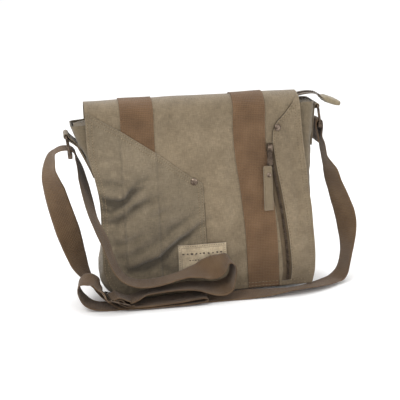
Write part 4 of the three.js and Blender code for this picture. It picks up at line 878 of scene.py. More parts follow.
# A sewn stitch: a short plump bead with pointed ends, lying along its second direction
def stitch_shape(length, width, height):
    rings = []
    for place, size in ((-0.36, 0.8), (0.0, 1.0), (0.36, 0.8)):
        for k in range(6):
            angle = k * math.pi / 3
            rings.append((0.5 * width * size * math.cos(angle), place * length,
                          height * size * math.sin(angle)))
    points = np.array(rings + [(0, -0.5 * length, -0.3 * height), (0, 0.5 * length, -0.3 * height)])
    faces = []
    for ring in (0, 1):
        for k in range(6):
            n = (k + 1) % 6
            faces.append((ring * 6 + k, ring * 6 + n, ring * 6 + 6 + n, ring * 6 + 6 + k))
    faces += [(18, (k + 1) % 6, k) for k in range(6)]
    faces += [(19, 12 + k, 12 + (k + 1) % 6) for k in range(6)]
    return points, faces


# Stitch frames along a bent line in the front view
def stitch_line(line, lift_at, pitch=3.9):
    places = []
    for (x0, z0), (x1, z1) in zip(line, line[1:]):
        length = math.hypot(x1 - x0, z1 - z0)
        count = max(int(length / pitch), 1)
        for k in range(count):
            s = (k + 0.5) / count
            places.append((x0 + (x1 - x0) * s, z0 + (z1 - z0) * s, x1 - x0, z1 - z0))
    frames = []
    for x, z, dx, dz in places:
        here, across, along, out = flap_frame(x, z, lift_at(x, z))
        size = math.hypot(dx, dz)
        sew = across * (dx / size) - along * (dz / size)
        frames.append((here, np.cross(sew, out), sew, out))
    return frames


# The height of the topmost cloth on the flap's front
def top_lift(x, z):
    lift = CANVAS
    at_z = np.array(z)
    if z < 0.9582 * FLAP_TOP and float(flap_left(at_z)) + 0.8 < x < float(pocket_right(at_z)):
        bulge = float(over_webbing(LEFT_WEBBING_LINE)(np.array(x), np.array(z), None))
        return POCKET_TOP_LIFT + bulge
    if z < 0.984 * FLAP_TOP and x > float(panel_left(np.array(z))):
        return PANEL_TOP_LIFT
    for line in (LEFT_WEBBING_LINE, RIGHT_WEBBING_LINE):
        if abs(x - float(line_at(line, np.array(z)))) < WEBBING_WIDTH / 2:
            lift = WEBBING_LIFT + WEBBING_THICKNESS
    return lift


def shifted(line, dx, dz):
    return [(x + dx, z + dz) for x, z in line]


# Sewn lines on the front, each with its lift and its stitch pitch
def sewn_lines():
    lines = []
    slant = [(x * HALF_FLAP, z * FLAP_TOP) for x, z in POCKET_TOP[1:]]
    lines += [(shifted(slant, -0.8, -2.6), top_lift, 3.9), (shifted(slant, -2.4, -8.6), top_lift, 3.9)]
    for inset in (2.4, 8.0):
        for high, low in ((180.0 - inset, 88.0), (37.0, 10.0)):
            heights = np.linspace(high, low, 8)
            lines.append(([(float(pocket_right(np.array(z))) - inset, z) for z in heights], top_lift, 3.9))
    beside_zip = np.linspace(ZIP_BOTTOM + 2, ZIP_TOP, 16)
    lines.append(([(float(panel_left(np.array(z))) + 2.2, z) for z in beside_zip], top_lift, 3.9))
    for inset in (2.6, 8.4):
        slope = np.linspace(ZIP_TOP + inset * 0.6, 296.0, 8)
        lines.append(([(float(panel_left(np.array(z))) + inset, z) for z in slope], top_lift, 3.9))
    for side in (-1, 1):
        for inset in (3.4, 9.0):
            heights = np.linspace(286.0, 20.0, 22)
            lines.append(([(float(edge_at(np.array(z), side)) - side * inset, z) for z in heights], top_lift,
                          3.9))
    for rise in (4.0, 9.6):
        lines.append(([(x, FLAP_HEM_HEIGHT + rise) for x in np.linspace(-104.0, 158.0, 24)], top_lift, 3.9))
    for line in (LEFT_WEBBING_LINE, RIGHT_WEBBING_LINE):
        for side in (-1, 1):
            reach = side * (WEBBING_WIDTH / 2 - 2.2)
            low = 150.0 if line is LEFT_WEBBING_LINE else 10.0
            edge = [(float(line_at(line, np.array(z))) + reach, z) for z in np.linspace(300.0, low, 20)]
            bare = [p for p in edge
                    if line is RIGHT_WEBBING_LINE or p[0] > float(pocket_right(np.array(p[1])))]
            if len(bare) > 1:
                lines.append((bare, lambda x, z: WEBBING_LIFT + WEBBING_THICKNESS, 4.2))
    return lines


# Places just outside the raised edges, where painted shadow lines lie
def contact_shadow_lines():
    beside_seam = [(float(pocket_right(np.array(z))) + 0.8, z) for z in np.linspace(150.0, 9.0, 12)]
    beside_panel = [(float(panel_left(np.array(z))) - 0.8, z) for z in np.linspace(ZIP_TOP + 2, 300.0, 10)]
    return [beside_seam, beside_panel]


# Thin bands laid along bent lines, all in one mesh
def band_mesh(name, lines, width, material):
    points, faces = [], []
    for line, lift_at in lines:
        run = np.concatenate([[0], np.cumsum([math.dist(p, q) for p, q in zip(line, line[1:])])])
        places = np.linspace(0, run[-1], max(int(run[-1] / 2.5), 2))
        x = np.interp(places, run, [p[0] for p in line])
        z = np.interp(places, run, [p[1] for p in line])
        dx, dz = np.gradient(x), np.gradient(z)
        size = np.hypot(dx, dz)
        nx, nz = -dz / size * width / 2, dx / size * width / 2
        lifts = np.array([lift_at(float(a), float(b)) for a, b in zip(x, z)])
        corners = [front_point(x + side * nx, z + side * nz, lifts + up)
                   for side, up in ((1, 0.1), (-1, 0.1), (-1, -0.05), (1, -0.05))]
        start = sum(len(block) for block in points)
        points.append(np.stack(corners, 1).reshape(-1, 3))
        for k in range(len(places) - 1):
            for j in range(4):
                n = (j + 1) % 4
                first, second = start + 4 * k, start + 4 * k + 4
                faces.append((first + j, first + n, second + n, second + j))
        last = start + 4 * (len(places) - 1)
        faces += [(start + 3, start + 2, start + 1, start), (last, last + 1, last + 2, last + 3)]
    return add_mesh(name, np.concatenate(points), faces, None, None, material)


def make_stitches():
    frames = []
    on_webbing = []
    for line, lift_at, pitch in sewn_lines():
        if pitch > 4.0:
            on_webbing += stitch_line(line, lift_at, pitch)
        else:
            frames += stitch_line(line, lift_at, pitch)
    points, faces = stitch_shape(3.0, 0.75, 0.45)
    band_thread = scatter_mesh("webbing_stitching", points, faces, on_webbing, looks["strap"])
    dress(band_thread)
    return scatter_mesh("flap_stitching", points, faces, frames, looks["thread"])


# Dark bands along the stitch lines, as painted shade in the seam grooves
seam_shade_bands = band_mesh("flap_seam_shade_lines",
                  [(line, lift_at) for line, lift_at, pitch in sewn_lines() if pitch < 4.0],
                  0.9, looks["seam"])
dress(seam_shade_bands)
# Dark bands just outside the raised edges, as painted contact shadow
edges = band_mesh("flap_contact_shadow_lines", [(line, top_lift) for line in contact_shadow_lines()], 1.1, looks["seam"])
dress(edges)
stitches = make_stitches()
dress(stitches)


# Zip teeth: one small block for each tooth, left and right in turn
TEETH_LIFT = CANVAS + GAP + ZIP_TAPE_THICKNESS + GAP


def tooth_shape(width, length, height):
    points = np.array([(x * width / 2, y * length / 2, z) for z in (0, height) for y in (-1, 1) for x in (-1,
                                                                                                          1)])
    points[4:, :2] *= 0.78
    faces = [(0, 1, 3, 2), (4, 6, 7, 5), (0, 4, 5, 1), (2, 3, 7, 6), (0, 2, 6, 4), (1, 5, 7, 3)]
    return points, faces


def make_teeth():
    frames = []
    z, k = ZIP_TOP - 1.5, 0
    while z > ZIP_BOTTOM + 2:
        x = float(line_at(ZIP_LINE, z)) + (0.7 if k % 2 else -0.7)
        frames.append(flap_frame(x, z, TEETH_LIFT))
        z -= 1.5
        k += 1
    points, faces = tooth_shape(3.6, 1.1, 1.5)
    return scatter_mesh("flap_zip_teeth_row", points, faces, frames, looks["metal"])


teeth = make_teeth()
dress(teeth, "flap_zip_teeth")


# The label: a cloth patch with its borders folded under and its top edge sewn
LABEL_WIDTH, LABEL_HEIGHT, LABEL_THICKNESS = 76.0, 48.0, 0.8
LABEL_X, LABEL_Z = -0.06 * HALF_FLAP, 0.2 * FLAP_TOP
LABEL_LIFT = POCKET_TOP_LIFT + GAP


def label_puff(x, z, run):
    edge = np.minimum(LABEL_WIDTH / 2 - np.abs(x - LABEL_X), LABEL_HEIGHT / 2 - np.abs(z - LABEL_Z))
    fold = 0.55 * (1 - smooth_step(4.0, 5.2, edge))
    return 0.15 + fold + 0.35 * (1 + waves(x, z, 26, 31, 8)) * smooth_step(0, 6, edge)


def label_top(x, z):
    return LABEL_LIFT + LABEL_THICKNESS + float(label_puff(np.array(x), np.array(z), None))


# Painted shade along the fold of the turned-under border and round the outer rim, with a random tone over the
# patch
def label_shade_and_tone(x, z):
    edge = np.minimum(LABEL_WIDTH / 2 - np.abs(x - LABEL_X), LABEL_HEIGHT / 2 - np.abs(z - LABEL_Z))
    tone = 1 - 0.3 * np.exp(-((edge - 5.2) / 0.7) ** 2) - 0.28 * np.exp(-(edge / 1.2) ** 2)
    return tone * (1 + 0.07 * waves(x, z, 16, 33, 8))


def make_label():
    heights = np.linspace(LABEL_Z + LABEL_HEIGHT / 2, LABEL_Z - LABEL_HEIGHT / 2, 70)
    left = np.full(70, LABEL_X - LABEL_WIDTH / 2)
    return layer_mesh("label_cloth", run_at(heights), left, left + LABEL_WIDTH, LABEL_LIFT, LABEL_THICKNESS,
                      110,
                      looks["label"], label_puff, label_shade_and_tone)


# Two rows of plain dashes across the label
def make_label_dashes():
    frames = []
    for up, start, stop, pitch in ((9.0, -30, 30, 6.6), (-1.5, -20, 26, 4.4)):
        for k, across in enumerate(np.arange(start, stop, pitch)):
            x, z = LABEL_X + across, LABEL_Z + up
            here, right, down, out = flap_frame(x, z, label_top(x, z))
            size = (1.0, 0.8, 1.15)[k % 3] * pitch / 6.6
            frames.append((here, down * size, right * size, out))
    points, faces = stitch_shape(4.2, 3.0, 0.12)
    return scatter_mesh("label_dashes", points, faces, frames, looks["ink"])


def make_label_stitches():
    reach, rise = LABEL_WIDTH / 2 - 2.4, LABEL_HEIGHT / 2 - 2.4
    corners = [(-reach, rise), (reach, rise), (reach, -rise), (-reach, -rise), (-reach, rise)]
    line = [(LABEL_X + x, LABEL_Z + z) for x, z in corners]
    points, faces = stitch_shape(2.8, 0.8, 0.4)
    return scatter_mesh("label_stitching", points, faces, stitch_line(line, label_top, 3.6), looks["ink"])


label = make_label()
dress(label, "label")
dashes, label_thread = make_label_dashes(), make_label_stitches()
for small in (dashes, label_thread):
    dress(small)


# Small metal: a closed wire, bars and domes
def vec(*values):
    return np.array(values, dtype=float)


def unit(v):
    return np.asarray(v, dtype=float) / np.linalg.norm(v)


# A section swept round a closed or open path. The section is in the plane of outward and the plane normal.
def sweep_points(path, section, plane_normal, ring):
    path = np.asarray(path)
    before, after = np.roll(path, 1, 0), np.roll(path, -1, 0)
    if not ring:
        before[0], after[-1] = path[0], path[-1]
    along = after - before
    along /= np.linalg.norm(along, axis=1, keepdims=True)
    outward = np.cross(along, plane_normal)
    outward /= np.linalg.norm(outward, axis=1, keepdims=True)
    section = np.asarray(section)
    return (path[:, None] + outward[:, None] * section[None, :, :1]
            + np.asarray(plane_normal)[None, None] * section[None, :, 1:])


def round_section(radius, sides=20):
    angles = np.arange(sides) / sides * 2 * math.pi
    return np.stack([radius * np.cos(angles), radius * np.sin(angles)], 1)


def box_section(width, height, radius, steps=4):
    points = []
    for turn, (sx, sy) in enumerate(((1, 1), (-1, 1), (-1, -1), (1, -1))):
        for k in range(steps + 1):
            angle = (turn + k / steps) * math.pi / 2
            points.append((sx * (width / 2 - radius) + radius * math.cos(angle),
                           sy * (height / 2 - radius) + radius * math.sin(angle)))
    return np.array(points)


# Two closed pieces made into one
def join_shapes(first, second):
    modifier = first.modifiers.new("join", "BOOLEAN")
    modifier.operation = "UNION"
    modifier.solver = "EXACT"
    modifier.object = second
    bpy.context.view_layer.update()
    graph = bpy.context.evaluated_depsgraph_get()
    joined = bpy.data.meshes.new_from_object(first.evaluated_get(graph))
    first.modifiers.clear()
    first.data = joined
    for polygon in joined.polygons:
        polygon.use_smooth = True
    bpy.data.objects.remove(second)
    return first


RING_WIRE, RING_SIDE_CLEARANCE, RING_HEIGHT = 4.0, 0.8, 29.0
RING_BAR_WIDTH, RING_BAR_HEIGHT, RING_BAR_OVERHANG = 7.0, 9.0, 0.7
TAB_THICKNESS, TAB_LENGTH, RING_LEAN = 3.0, 62.0, 0.14
RING_INNER_WIDTH = STRAP_WIDTH + 2 * RING_SIDE_CLEARANCE
TAB_WIDTH = RING_INNER_WIDTH - 2 * RING_SIDE_CLEARANCE - 4
SLIDE_LENGTH, SLIDE_BAR, SLIDE_THICKNESS, SLIDE_SIDE_CLEARANCE = 36.0, 3.0, 2.4, 1.2


def ring_places(side, top_height):
    out = RING_WIRE / 2 + GAP + TAB_THICKNESS
    reach = out + 9 if side < 0 else out + 1
    top = vec(float(pouch_side(top_height, side)) + side * reach, 0, top_height)
    return top, top + vec(RING_LEAN * RING_HEIGHT, 0, -RING_HEIGHT)


RING_LEFT = ring_places(-1, 0.915 * ROOF_HEIGHT)
RING_RIGHT = ring_places(1, 1.0 * ROOF_HEIGHT)


def make_ring(name, places, node):
    top, bottom = places
    half = (RING_INNER_WIDTH + RING_WIRE) / 2
    down = unit(bottom - top)
    across = vec(0, 1, 0)
    normal = unit(np.cross(across, down))
    bend = 1.1 * RING_WIRE
    path = []
    for side_sign, low, turn in ((1, 0, 0), (1, 1, 1), (-1, 1, 2), (-1, 0, 3)):
        cy, cd = side_sign * (half - bend), RING_HEIGHT - bend if low else bend
        for k in range(9):
            angle = (turn + k / 8) * math.pi / 2
            path.append(top + across * (cy + bend * math.sin(angle)) + down * (cd - bend * math.cos(angle)))
    wire = tube_mesh(name, sweep_points(path, round_section(RING_WIRE / 2), -normal, True), None, None,
                     looks["metal"], True)
    reach = half + RING_WIRE / 2 + RING_BAR_OVERHANG
    section = box_section(RING_BAR_WIDTH, RING_BAR_HEIGHT, 2.0)
    rows = []
    for y, size in ((-reach, 0.9), (-reach + 0.35, 1), (reach - 0.35, 1), (reach, 0.9)):
        rows.append(np.column_stack([bottom[0] + section[:, 0] * size, np.full(len(section), y),
                                     bottom[2] + section[:, 1] * size]))
    bar = tube_mesh(name + "_bar", np.array(rows), None, None, looks["metal"])
    piece = join_shapes(wire, bar)
    dress(piece, node)


make_ring("ring_left_metal", RING_LEFT, "ring_left")
make_ring("ring_right_metal", RING_RIGHT, "ring_right")

# The slide's middle and its directions along the strap, up and across it
SLIDE_CENTRE = vec(-147.5, -(HALF_DEPTH + 31.5), 18)
SLIDE_ALONG = unit(vec(0.92, 0.12, -0.36))
SLIDE_ACROSS = unit(np.cross(vec(0.38, 0.1, 0.92), SLIDE_ALONG))
SLIDE_UP = unit(np.cross(SLIDE_ALONG, SLIDE_ACROSS))


def slide_point(along, up, across=0.0):
    return SLIDE_CENTRE + SLIDE_ALONG * along + SLIDE_UP * up + SLIDE_ACROSS * across


def make_slide():
    half_width = STRAP_WIDTH / 2 + SLIDE_SIDE_CLEARANCE + SLIDE_BAR / 2
    half_length = (SLIDE_LENGTH - SLIDE_BAR) / 2
    bend = 2.6
    path = []
    for turn, (sx, sy) in enumerate(((1, 1), (-1, 1), (-1, -1), (1, -1))):
        for k in range(7):
            angle = (turn + k / 6) * math.pi / 2
            path.append(slide_point(sx * (half_length - bend) + bend * math.cos(angle), 0,
                                    sy * (half_width - bend) + bend * math.sin(angle)))
    section = box_section(SLIDE_BAR, SLIDE_THICKNESS, 0.9, 3)
    frame_piece = tube_mesh("strap_slide_metal", sweep_points(path, section, SLIDE_UP, True), None, None,
                            looks["metal"], True)
    ends = [slide_point(0, 0, -half_width), slide_point(0, 0, half_width)]
    middle = tube_mesh("strap_slide_bar", sweep_points(ends, section, SLIDE_UP, False), None, None,
                       looks["metal"])
    piece = join_shapes(frame_piece, middle)
    dress(piece, "strap_slide")


make_slide()


# The strap's route, listed row by row. Each row is the middle of the webbing and the direction of its width.
def strap_route():
    rows = []

    def at(x, y, z, w):
        rows.append((vec(x, y, z), unit(w)))

    def over_bar(bar, dx, dz, w):
        rows.append((bar + vec(dx, 0, dz), unit(w)))

    def before(x, away, z, w):
        at(x, -(HALF_DEPTH + away), z, w)

    def in_slide(along, up, turned):
        rows.append((slide_point(along, up), turned * SLIDE_ACROSS))

    side = RING_BAR_WIDTH / 2 + GAP + STRAP_THICKNESS / 2 + 0.2
    over = RING_BAR_HEIGHT / 2 + GAP + STRAP_THICKNESS / 2 + 0.2
    bar_right, bar_left = RING_RIGHT[1], RING_LEFT[1]
    y1 = (0, -1, 0)
    over_bar(bar_right, -1.0, -30, y1)
    over_bar(bar_right, -1.6, -20, y1)
    over_bar(bar_right, -side, -6, y1)
    over_bar(bar_right, -side, 1.5, y1)
    over_bar(bar_right, -0.8 * side, 0.83 * over, y1)
    over_bar(bar_right, 0, over, y1)
    over_bar(bar_right, 0.8 * side, 0.83 * over, y1)
    over_bar(bar_right, side, 1.5, y1)
    over_bar(bar_right, side + 0.3, -6, y1)
    over_bar(bar_right, 4.4, -20, y1)
    over_bar(bar_right, 8.5, -31, y1)
    at(200, -1, 205, (0.03, -1, 0))
    at(209.5, -4, 181, (0.41, -0.91, 0))
    at(214, -6, 163, (0.5, -0.87, 0))
    at(220, -8, 146, (0.59, -0.81, 0))
    at(225.5, -10, 129, (0.68, -0.73, 0))
    at(231, -12, 112, (0.73, -0.68, 0))
    at(234, -15, 95, (0.68, -0.73, 0))
    at(234.5, -18, 79, (0.56, -0.83, 0))
    at(234, -20.5, 62, (0.36, -0.93, 0))
    at(232, -23, 45, (0.21, -0.98, 0))
    at(228.5, -26, 29, (0.16, -0.98, 0))
    at(222.5, -29.5, 14, (0.2, -0.98, 0.02))
    at(212, -34, 5.2, (0.36, -0.93, 0.08))
    at(200, -40, 4, (0.42, -0.9, 0.12))
    before(184, 7.5, 4.6, (0.42, -0.9, 0.15))
    before(166, 16.5, 5.6, (0.35, -0.93, 0.2))
    before(146, 23.5, 6.6, (0.15, -0.96, 0.27))
    before(125, 26, 6.2, (0, -0.97, 0.24))
    before(98, 24.5, 3.8, (0, -1, 0.1))
    before(62, 22, 2.8, (0, -1, -0.05))
    before(20, 20.5, 1.4, (0, -1, 0))
    before(-20, 20, 1.2, (0, -1, 0))
    before(-60, 19.5, 1.2, (0, -1, 0))
    before(-98, 19, 1.2, (0, -1, 0))
    before(-136, 18.5, 1.2, (-0.03, -1, 0))
    before(-165, 17.5, 1.3, (-0.06, -1, 0))
    before(-185, 17, 5.2, (-0.12, -0.99, 0))
    before(-197, 16, 14, (-0.15, -0.98, -0.05))
    before(-204, 15, 26, (-0.12, -0.99, -0.01))
    before(-205.5, 15, 38, (-0.1, -0.99, -0.02))
    before(-201, 16.5, 46, (-0.16, -0.98, -0.1))
    before(-192, 21.5, 49.5, (-0.22, -0.96, -0.14))
    before(-182, 27, 46.5, (-0.15, -0.97, -0.15))
    before(-175.5, 31.5, 38.5, (0, -0.99, -0.1))
    in_slide(-26, 4.6, -1)
    in_slide(-21.6, -1.6, -1)
    in_slide(-17, -4, -1)
    in_slide(-12.5, -2, -1)
    in_slide(-8.5, 1.6, -1)
    in_slide(-4.5, 4.8, -1)
    in_slide(0.5, 5.6, -1)
    in_slide(7, 4.6, -1)
    in_slide(13.5, 3.9, -1)
    in_slide(19.5, 4.3, -1)
    before(-119, 30.7, 17.4, (0.06, -1, 0.05))
    before(-104, 30.7, 23.8, (0, -0.99, 0.11))
    before(-82, 30.7, 26.2, (0, -0.99, 0.11))
    before(-59, 30.7, 28, (0, -1, 0.07))
    before(-40, 30.1, 28.4, (0, -1, 0))
    before(-22, 29.7, 26, (0, -1, -0.05))
    before(-6, 29.5, 22, (0, -0.98, -0.18))
    before(7, 29.1, 19.8, (0.05, -0.96, -0.27))
    before(18, 28.7, 20.4, (0.08, -0.94, -0.33))
    before(27, 28.5, 25.5, (0.08, -0.95, -0.3))
    before(31.5, 28.5, 34, (0.06, -0.98, -0.16))
    before(33.5, 28.5, 44, (0.1, -0.99, 0))
    before(34, 28.5, 53, (0.14, -0.98, 0.1))
    before(32.5, 28.5, 60.5, (0.1, -0.99, 0.03))
    before(28, 28, 65.5, (0, -0.99, -0.05))
    before(21.5, 27.5, 64.5, (-0.06, -0.93, -0.3))
    before(14.5, 27, 59.5, (-0.04, -0.72, -0.66))
    before(5.5, 27, 55, (0.02, -0.52, -0.83))
    before(-6, 27.3, 52.6, (0, -0.7, -0.66))
    before(-20, 29.1, 51.2, (0, -0.93, -0.28))
    before(-37, 29.9, 49.5, (0, -1, -0.05))
    before(-53, 30.5, 45.8, (0, -1, 0.05))
    before(-70, 31.1, 42, (0, -1, 0.03))
    before(-86, 31.4, 39.4, (0, -1, 0))
    before(-103, 31.3, 38.4, (0, -1, 0))
    before(-119, 30.9, 40.4, (-0.05, -1, 0))
    before(-132, 30.5, 46.5, (-0.15, -0.98, 0.05))
    before(-142, 30.1, 57, (-0.27, -0.95, 0.1))
    before(-149.5, 29.5, 71, (-0.3, -0.94, 0.12))
    before(-155.5, 28.5, 88, (-0.32, -0.92, 0.2))
    before(-160.5, 28, 106, (-0.38, -0.87, 0.32))
    before(-168.4, 25.9, 126, (-0.44, -0.8, 0.4))
    before(-177.5, 8, 149, (-0.42, -0.78, 0.46))
    at(-182, -32, 170, (-0.44, -0.8, 0.4))
    at(-186, -16, 191, (-0.4, -0.86, 0.32))
    at(-189.5, -5, 211, (-0.25, -0.95, 0.18))
    over_bar(bar_left, 8.8, -6, (-0.03, -1, 0))
    over_bar(bar_left, 6.8, 2, y1)
    over_bar(bar_left, 2, 6.6, y1)
    over_bar(bar_left, -5, 8, y1)
    over_bar(bar_left, -14, 7.5, y1)
    over_bar(bar_left, -22.5, 3.5, y1)
    over_bar(bar_left, -28, -4.5, (0.3, -0.95, 0))
    at(-236.5, 0, 212, (0.5, -0.86, 0.02))
    at(-235.5, 0, 194, (0.75, -0.66, 0.05))
    at(-231.5, 0, 177, (0.88, -0.46, 0.08))
    at(-226.5, 0, 154, (0.93, -0.3, 0.12))
    at(-218.5, 1, 122, (0.93, -0.1, 0.16))
    at(-211.5, 2, 95, (0.85, 0.35, 0.2))
    at(-204.5, 1, 68, (0.76, 0.62, 0.1))
    at(-198, -4, 47, (0.66, 0.66, -0.25))
    at(-188, -16, 30, (0.55, 0.6, -0.55))
    at(-174, -34, 18.5, (0.5, 0.65, -0.55))
    before(-158, 9, 11.5, (0.5, 0.83, -0.2))
    before(-139, 21.5, 3.9, (0.22, 0.97, 0.02))
    before(-118, 27, 3.7, (0.05, 1, 0))
    before(-80, 28.5, 3.8, (0, 1, 0))
    before(-45, 29, 3.8, (0, 1, 0))
    before(-22, 29, 4.6, (0, 1, 0))
    before(-13, 29, 5.6, (0, 1, 0))
    before(-9, 29, 8.6, (0, 1, 0))
    before(-13, 29, 11.6, (0, 1, 0))
    before(-22, 29, 11.6, (0, 1, 0))
    before(-45, 29.1, 9.2, (0, 1, 0))
    before(-78, 29.3, 7.4, (0, 1, 0))
    before(-104, 29.5, 6.6, (0, 1, 0))
    before(-121, 29.3, 6.6, (-0.03, 1, 0))
    in_slide(16, -5.4, 1)
    in_slide(7, -4.8, 1)
    in_slide(1, -3.4, 1)
    in_slide(-2.8, -1.6, 1)
    in_slide(-3.2, 0.8, 1)
    in_slide(-0.8, 2.8, 1)
    in_slide(3.4, 2.2, 1)
    in_slide(8, -0.2, 1)
    in_slide(12.5, -2.4, 1)
    in_slide(17.5, -2.6, 1)
    before(-124.5, 29.1, 9.6, (-0.05, 1, 0))
    return rows


def resample(points, columns, spacing):
    run = run_along(points)
    places = np.linspace(0, run[-1], int(run[-1] / spacing) + 1)
    return places, [np.stack([np.interp(places, run, column[:, k]) for k in range(3)],
                             1) for column in columns]


# A centripetal curve through points, with other values carried along
def smooth_route(points, values, steps=10):
    points = np.asarray(points)
    values = np.asarray(values)
    ext = np.vstack([2 * points[0] - points[1], points, 2 * points[-1] - points[-2]])
    out, carried = [], []
    for k in range(1, len(ext) - 2):
        p = ext[k - 1:k + 3]
        t = np.concatenate([[0], np.cumsum(np.sqrt(np.maximum(np.linalg.norm(np.diff(p, axis=0), axis=1),
                                                              1e-6)))])
        for j in range(steps):
            s = j / steps
            u = t[1] + (t[2] - t[1]) * s
            a1 = (t[1] - u) / (t[1] - t[0]) * p[0] + (u - t[0]) / (t[1] - t[0]) * p[1]
            a2 = (t[2] - u) / (t[2] - t[1]) * p[1] + (u - t[1]) / (t[2] - t[1]) * p[2]
            a3 = (t[3] - u) / (t[3] - t[2]) * p[2] + (u - t[2]) / (t[3] - t[2]) * p[3]
            b1 = (t[2] - u) / (t[2] - t[0]) * a1 + (u - t[0]) / (t[2] - t[0]) * a2
            b2 = (t[3] - u) / (t[3] - t[1]) * a2 + (u - t[1]) / (t[3] - t[1]) * a3
            out.append((t[2] - u) / (t[2] - t[1]) * b1 + (u - t[1]) / (t[2] - t[1]) * b2)
            carried.append(values[k - 1] * (1 - s) + values[k] * s)
    out.append(points[-1])
    carried.append(values[-1])
    return np.array(out), np.array(carried)


def strap_frames():
    rows = strap_route()
    centres, widths = smooth_route([p for p, _ in rows], [w for _, w in rows])
    places, (centres, widths) = resample(centres, [centres, widths], 1.5)
    tangents = np.gradient(centres, axis=0)
    tangents /= np.linalg.norm(tangents, axis=1, keepdims=True)
    widths = widths - tangents * np.sum(widths * tangents, axis=1, keepdims=True)
    widths /= np.linalg.norm(widths, axis=1, keepdims=True)
    return places, centres, widths, np.cross(tangents, widths)


STRAP_PLACES, STRAP_CENTRES, STRAP_WIDTHS, STRAP_NORMALS = strap_frames()


def make_strap():
    across = np.linspace(-1, 1, 15)
    rim = np.sqrt(np.maximum(1 - np.clip((np.abs(across) - 0.955) / 0.045, 0, 1) ** 2, 0))
    selvedge = 0.16 * np.exp(-((np.abs(across) - 0.93) / 0.05) ** 2)
    top = np.stack([across * STRAP_WIDTH / 2,
                    (STRAP_THICKNESS / 2 - 0.16 + selvedge) * np.maximum(rim, 0.25)], 1)
    section = np.concatenate([top, (top * vec(1, -1))[::-1]])
    sections = (STRAP_CENTRES[:, None] + STRAP_WIDTHS[:, None] * section[None, :, :1]
                + STRAP_NORMALS[:, None] * section[None, :, 1:])
    uv = np.stack(np.broadcast_arrays(section[None, :, 0], STRAP_PLACES[:, None]), -1)
    edge = np.abs(section[:, 0]) / (STRAP_WIDTH / 2)
    # Painted highlight along both edges of the strap, and a faint random tone
    tone = 1 + 0.10 * smooth_step(0.9, 0.98, edge)[None] + 0.03 * waves(uv[..., 0], uv[..., 1], 160, 41)
    x, y, z = STRAP_CENTRES.T
    # Painted shade over the left leg, which hangs in the bag's shade and is darker across one side of its
    # width, and over the strands piled in front of the bag
    left_leg_shade = smooth_step(62, 90, z) * (1 - smooth_step(205, 228, z)) * (1 - smooth_step(-150, -140, x))
    left_leg_shade *= smooth_step(-200, -194, x) * (1 - smooth_step(-4, 2, y))
    pile_shade = smooth_step(-172, -160, x) * (1 - smooth_step(36, 44, x)) * (1 - smooth_step(-64, -58, y))
    pile_shade *= smooth_step(5, 12, z) * (1 - smooth_step(60, 80, z))
    dark = 1 - 0.3 * left_leg_shade[:, None] * smooth_step(-0.75, 0.1, section[None, :, 0] / (STRAP_WIDTH / 2))
    return tube_mesh("strap_webbing", sections, uv, tone * dark * (1 - 0.12 * pile_shade)[:, None], looks["strap"])


strap = make_strap()
dress(strap, "strap")


# Rivets: low domes on a flat foot with a small lip
def make_rivet(name, place, radius, height, lift, node):
    here, across, along, out = flap_frame(place[0], place[1], lift)
    rings = []
    profile = ((0.96, 0.0), (1.0, 0.1), (1.0, 0.25), (0.93, 0.42), (0.86, 0.5), (0.8, 0.62),
               (0.62, 0.84), (0.4, 0.95), (0.18, 1.0))
    angles = np.arange(36) / 36 * 2 * math.pi
    for reach, rise in profile:
        rings.append(here + (np.cos(angles)[:, None] * across + np.sin(angles)[:,
                                                                               None] * along) * reach * radius
                     + out * rise * height)
    piece = tube_mesh(name, np.array(rings), None, None, looks["highlight_metal"])
    dress(piece, node)


make_rivet("rivet_left_dome", (-0.112 * HALF_FLAP, 0.597 * FLAP_TOP), 5.5, 2.4, POCKET_TOP_LIFT + GAP,
           "rivet_left")
make_rivet("rivet_right_dome", (0.7 * HALF_FLAP, 0.84 * FLAP_TOP), 5.5, 2.4, POCKET_TOP_LIFT + 1.4,
           "rivet_right")


# The zip's slider, its pull plate and the canvas tab riveted to the pull
ZIP_SLIDER_LENGTH, ZIP_SLIDER_HEIGHT = 15.0, 2.8
PULL_LENGTH, PULL_THICKNESS = 27.0, 1.2
PULL_TAB_LENGTH, PULL_TAB_THICKNESS, PULL_RIVET_RADIUS = 70.0, 3.0, 3.6
SLIDER_LIFT = TEETH_LIFT + 1.6 + GAP
PULL_LIFT = SLIDER_LIFT + ZIP_SLIDER_HEIGHT + GAP
PULL_TAB_LIFT = PULL_LIFT + (PULL_THICKNESS - PULL_TAB_THICKNESS) / 2
SLIDER_Z = ZIP_TOP - 0.6 * ZIP_SLIDER_LENGTH
SLIDER_X = float(line_at(ZIP_LINE, SLIDER_Z))
PULL_X, PULL_Z = SLIDER_X - 1.5, SLIDER_Z + 0.1 * ZIP_SLIDER_LENGTH - PULL_LENGTH / 2
TAB_X, TAB_Z = PULL_X - 4, PULL_Z - (PULL_LENGTH + PULL_TAB_LENGTH) / 2 - GAP


# A small plate lying on the flap, with a rounded rim. Half width by place down its length comes from a list.
def flap_plate(name, x, z, length, halves, lift, thickness, material, rows=40, around=24, lean=0.0):
    places = np.linspace(0, 1, rows)
    half = np.interp(places, [p for p, _ in halves], [h for _, h in halves])
    rim = np.minimum(places, 1 - places) * length
    thick = thickness / 2 * np.sqrt(np.clip(1 - (1 - np.clip(rim / 0.9, 0, 1)) ** 2, 0.06, 1))
    middle = lift + thickness / 2
    sections = []
    for k in range(rows):
        height = z + length / 2 - places[k] * length
        at_x = x + lean * (places[k] - 0.5)
        angles = np.arange(around) / around * 2 * math.pi
        cosine, sine = np.cos(angles), np.sin(angles)
        wide = np.sign(cosine) * np.abs(cosine) ** 0.35 * half[k]
        high = np.sign(sine) * np.abs(sine) ** 0.5 * thick[k]
        sections.append(front_point(at_x + wide, np.full(around, height), middle + high))
    return tube_mesh(name, np.array(sections), None, None, material)


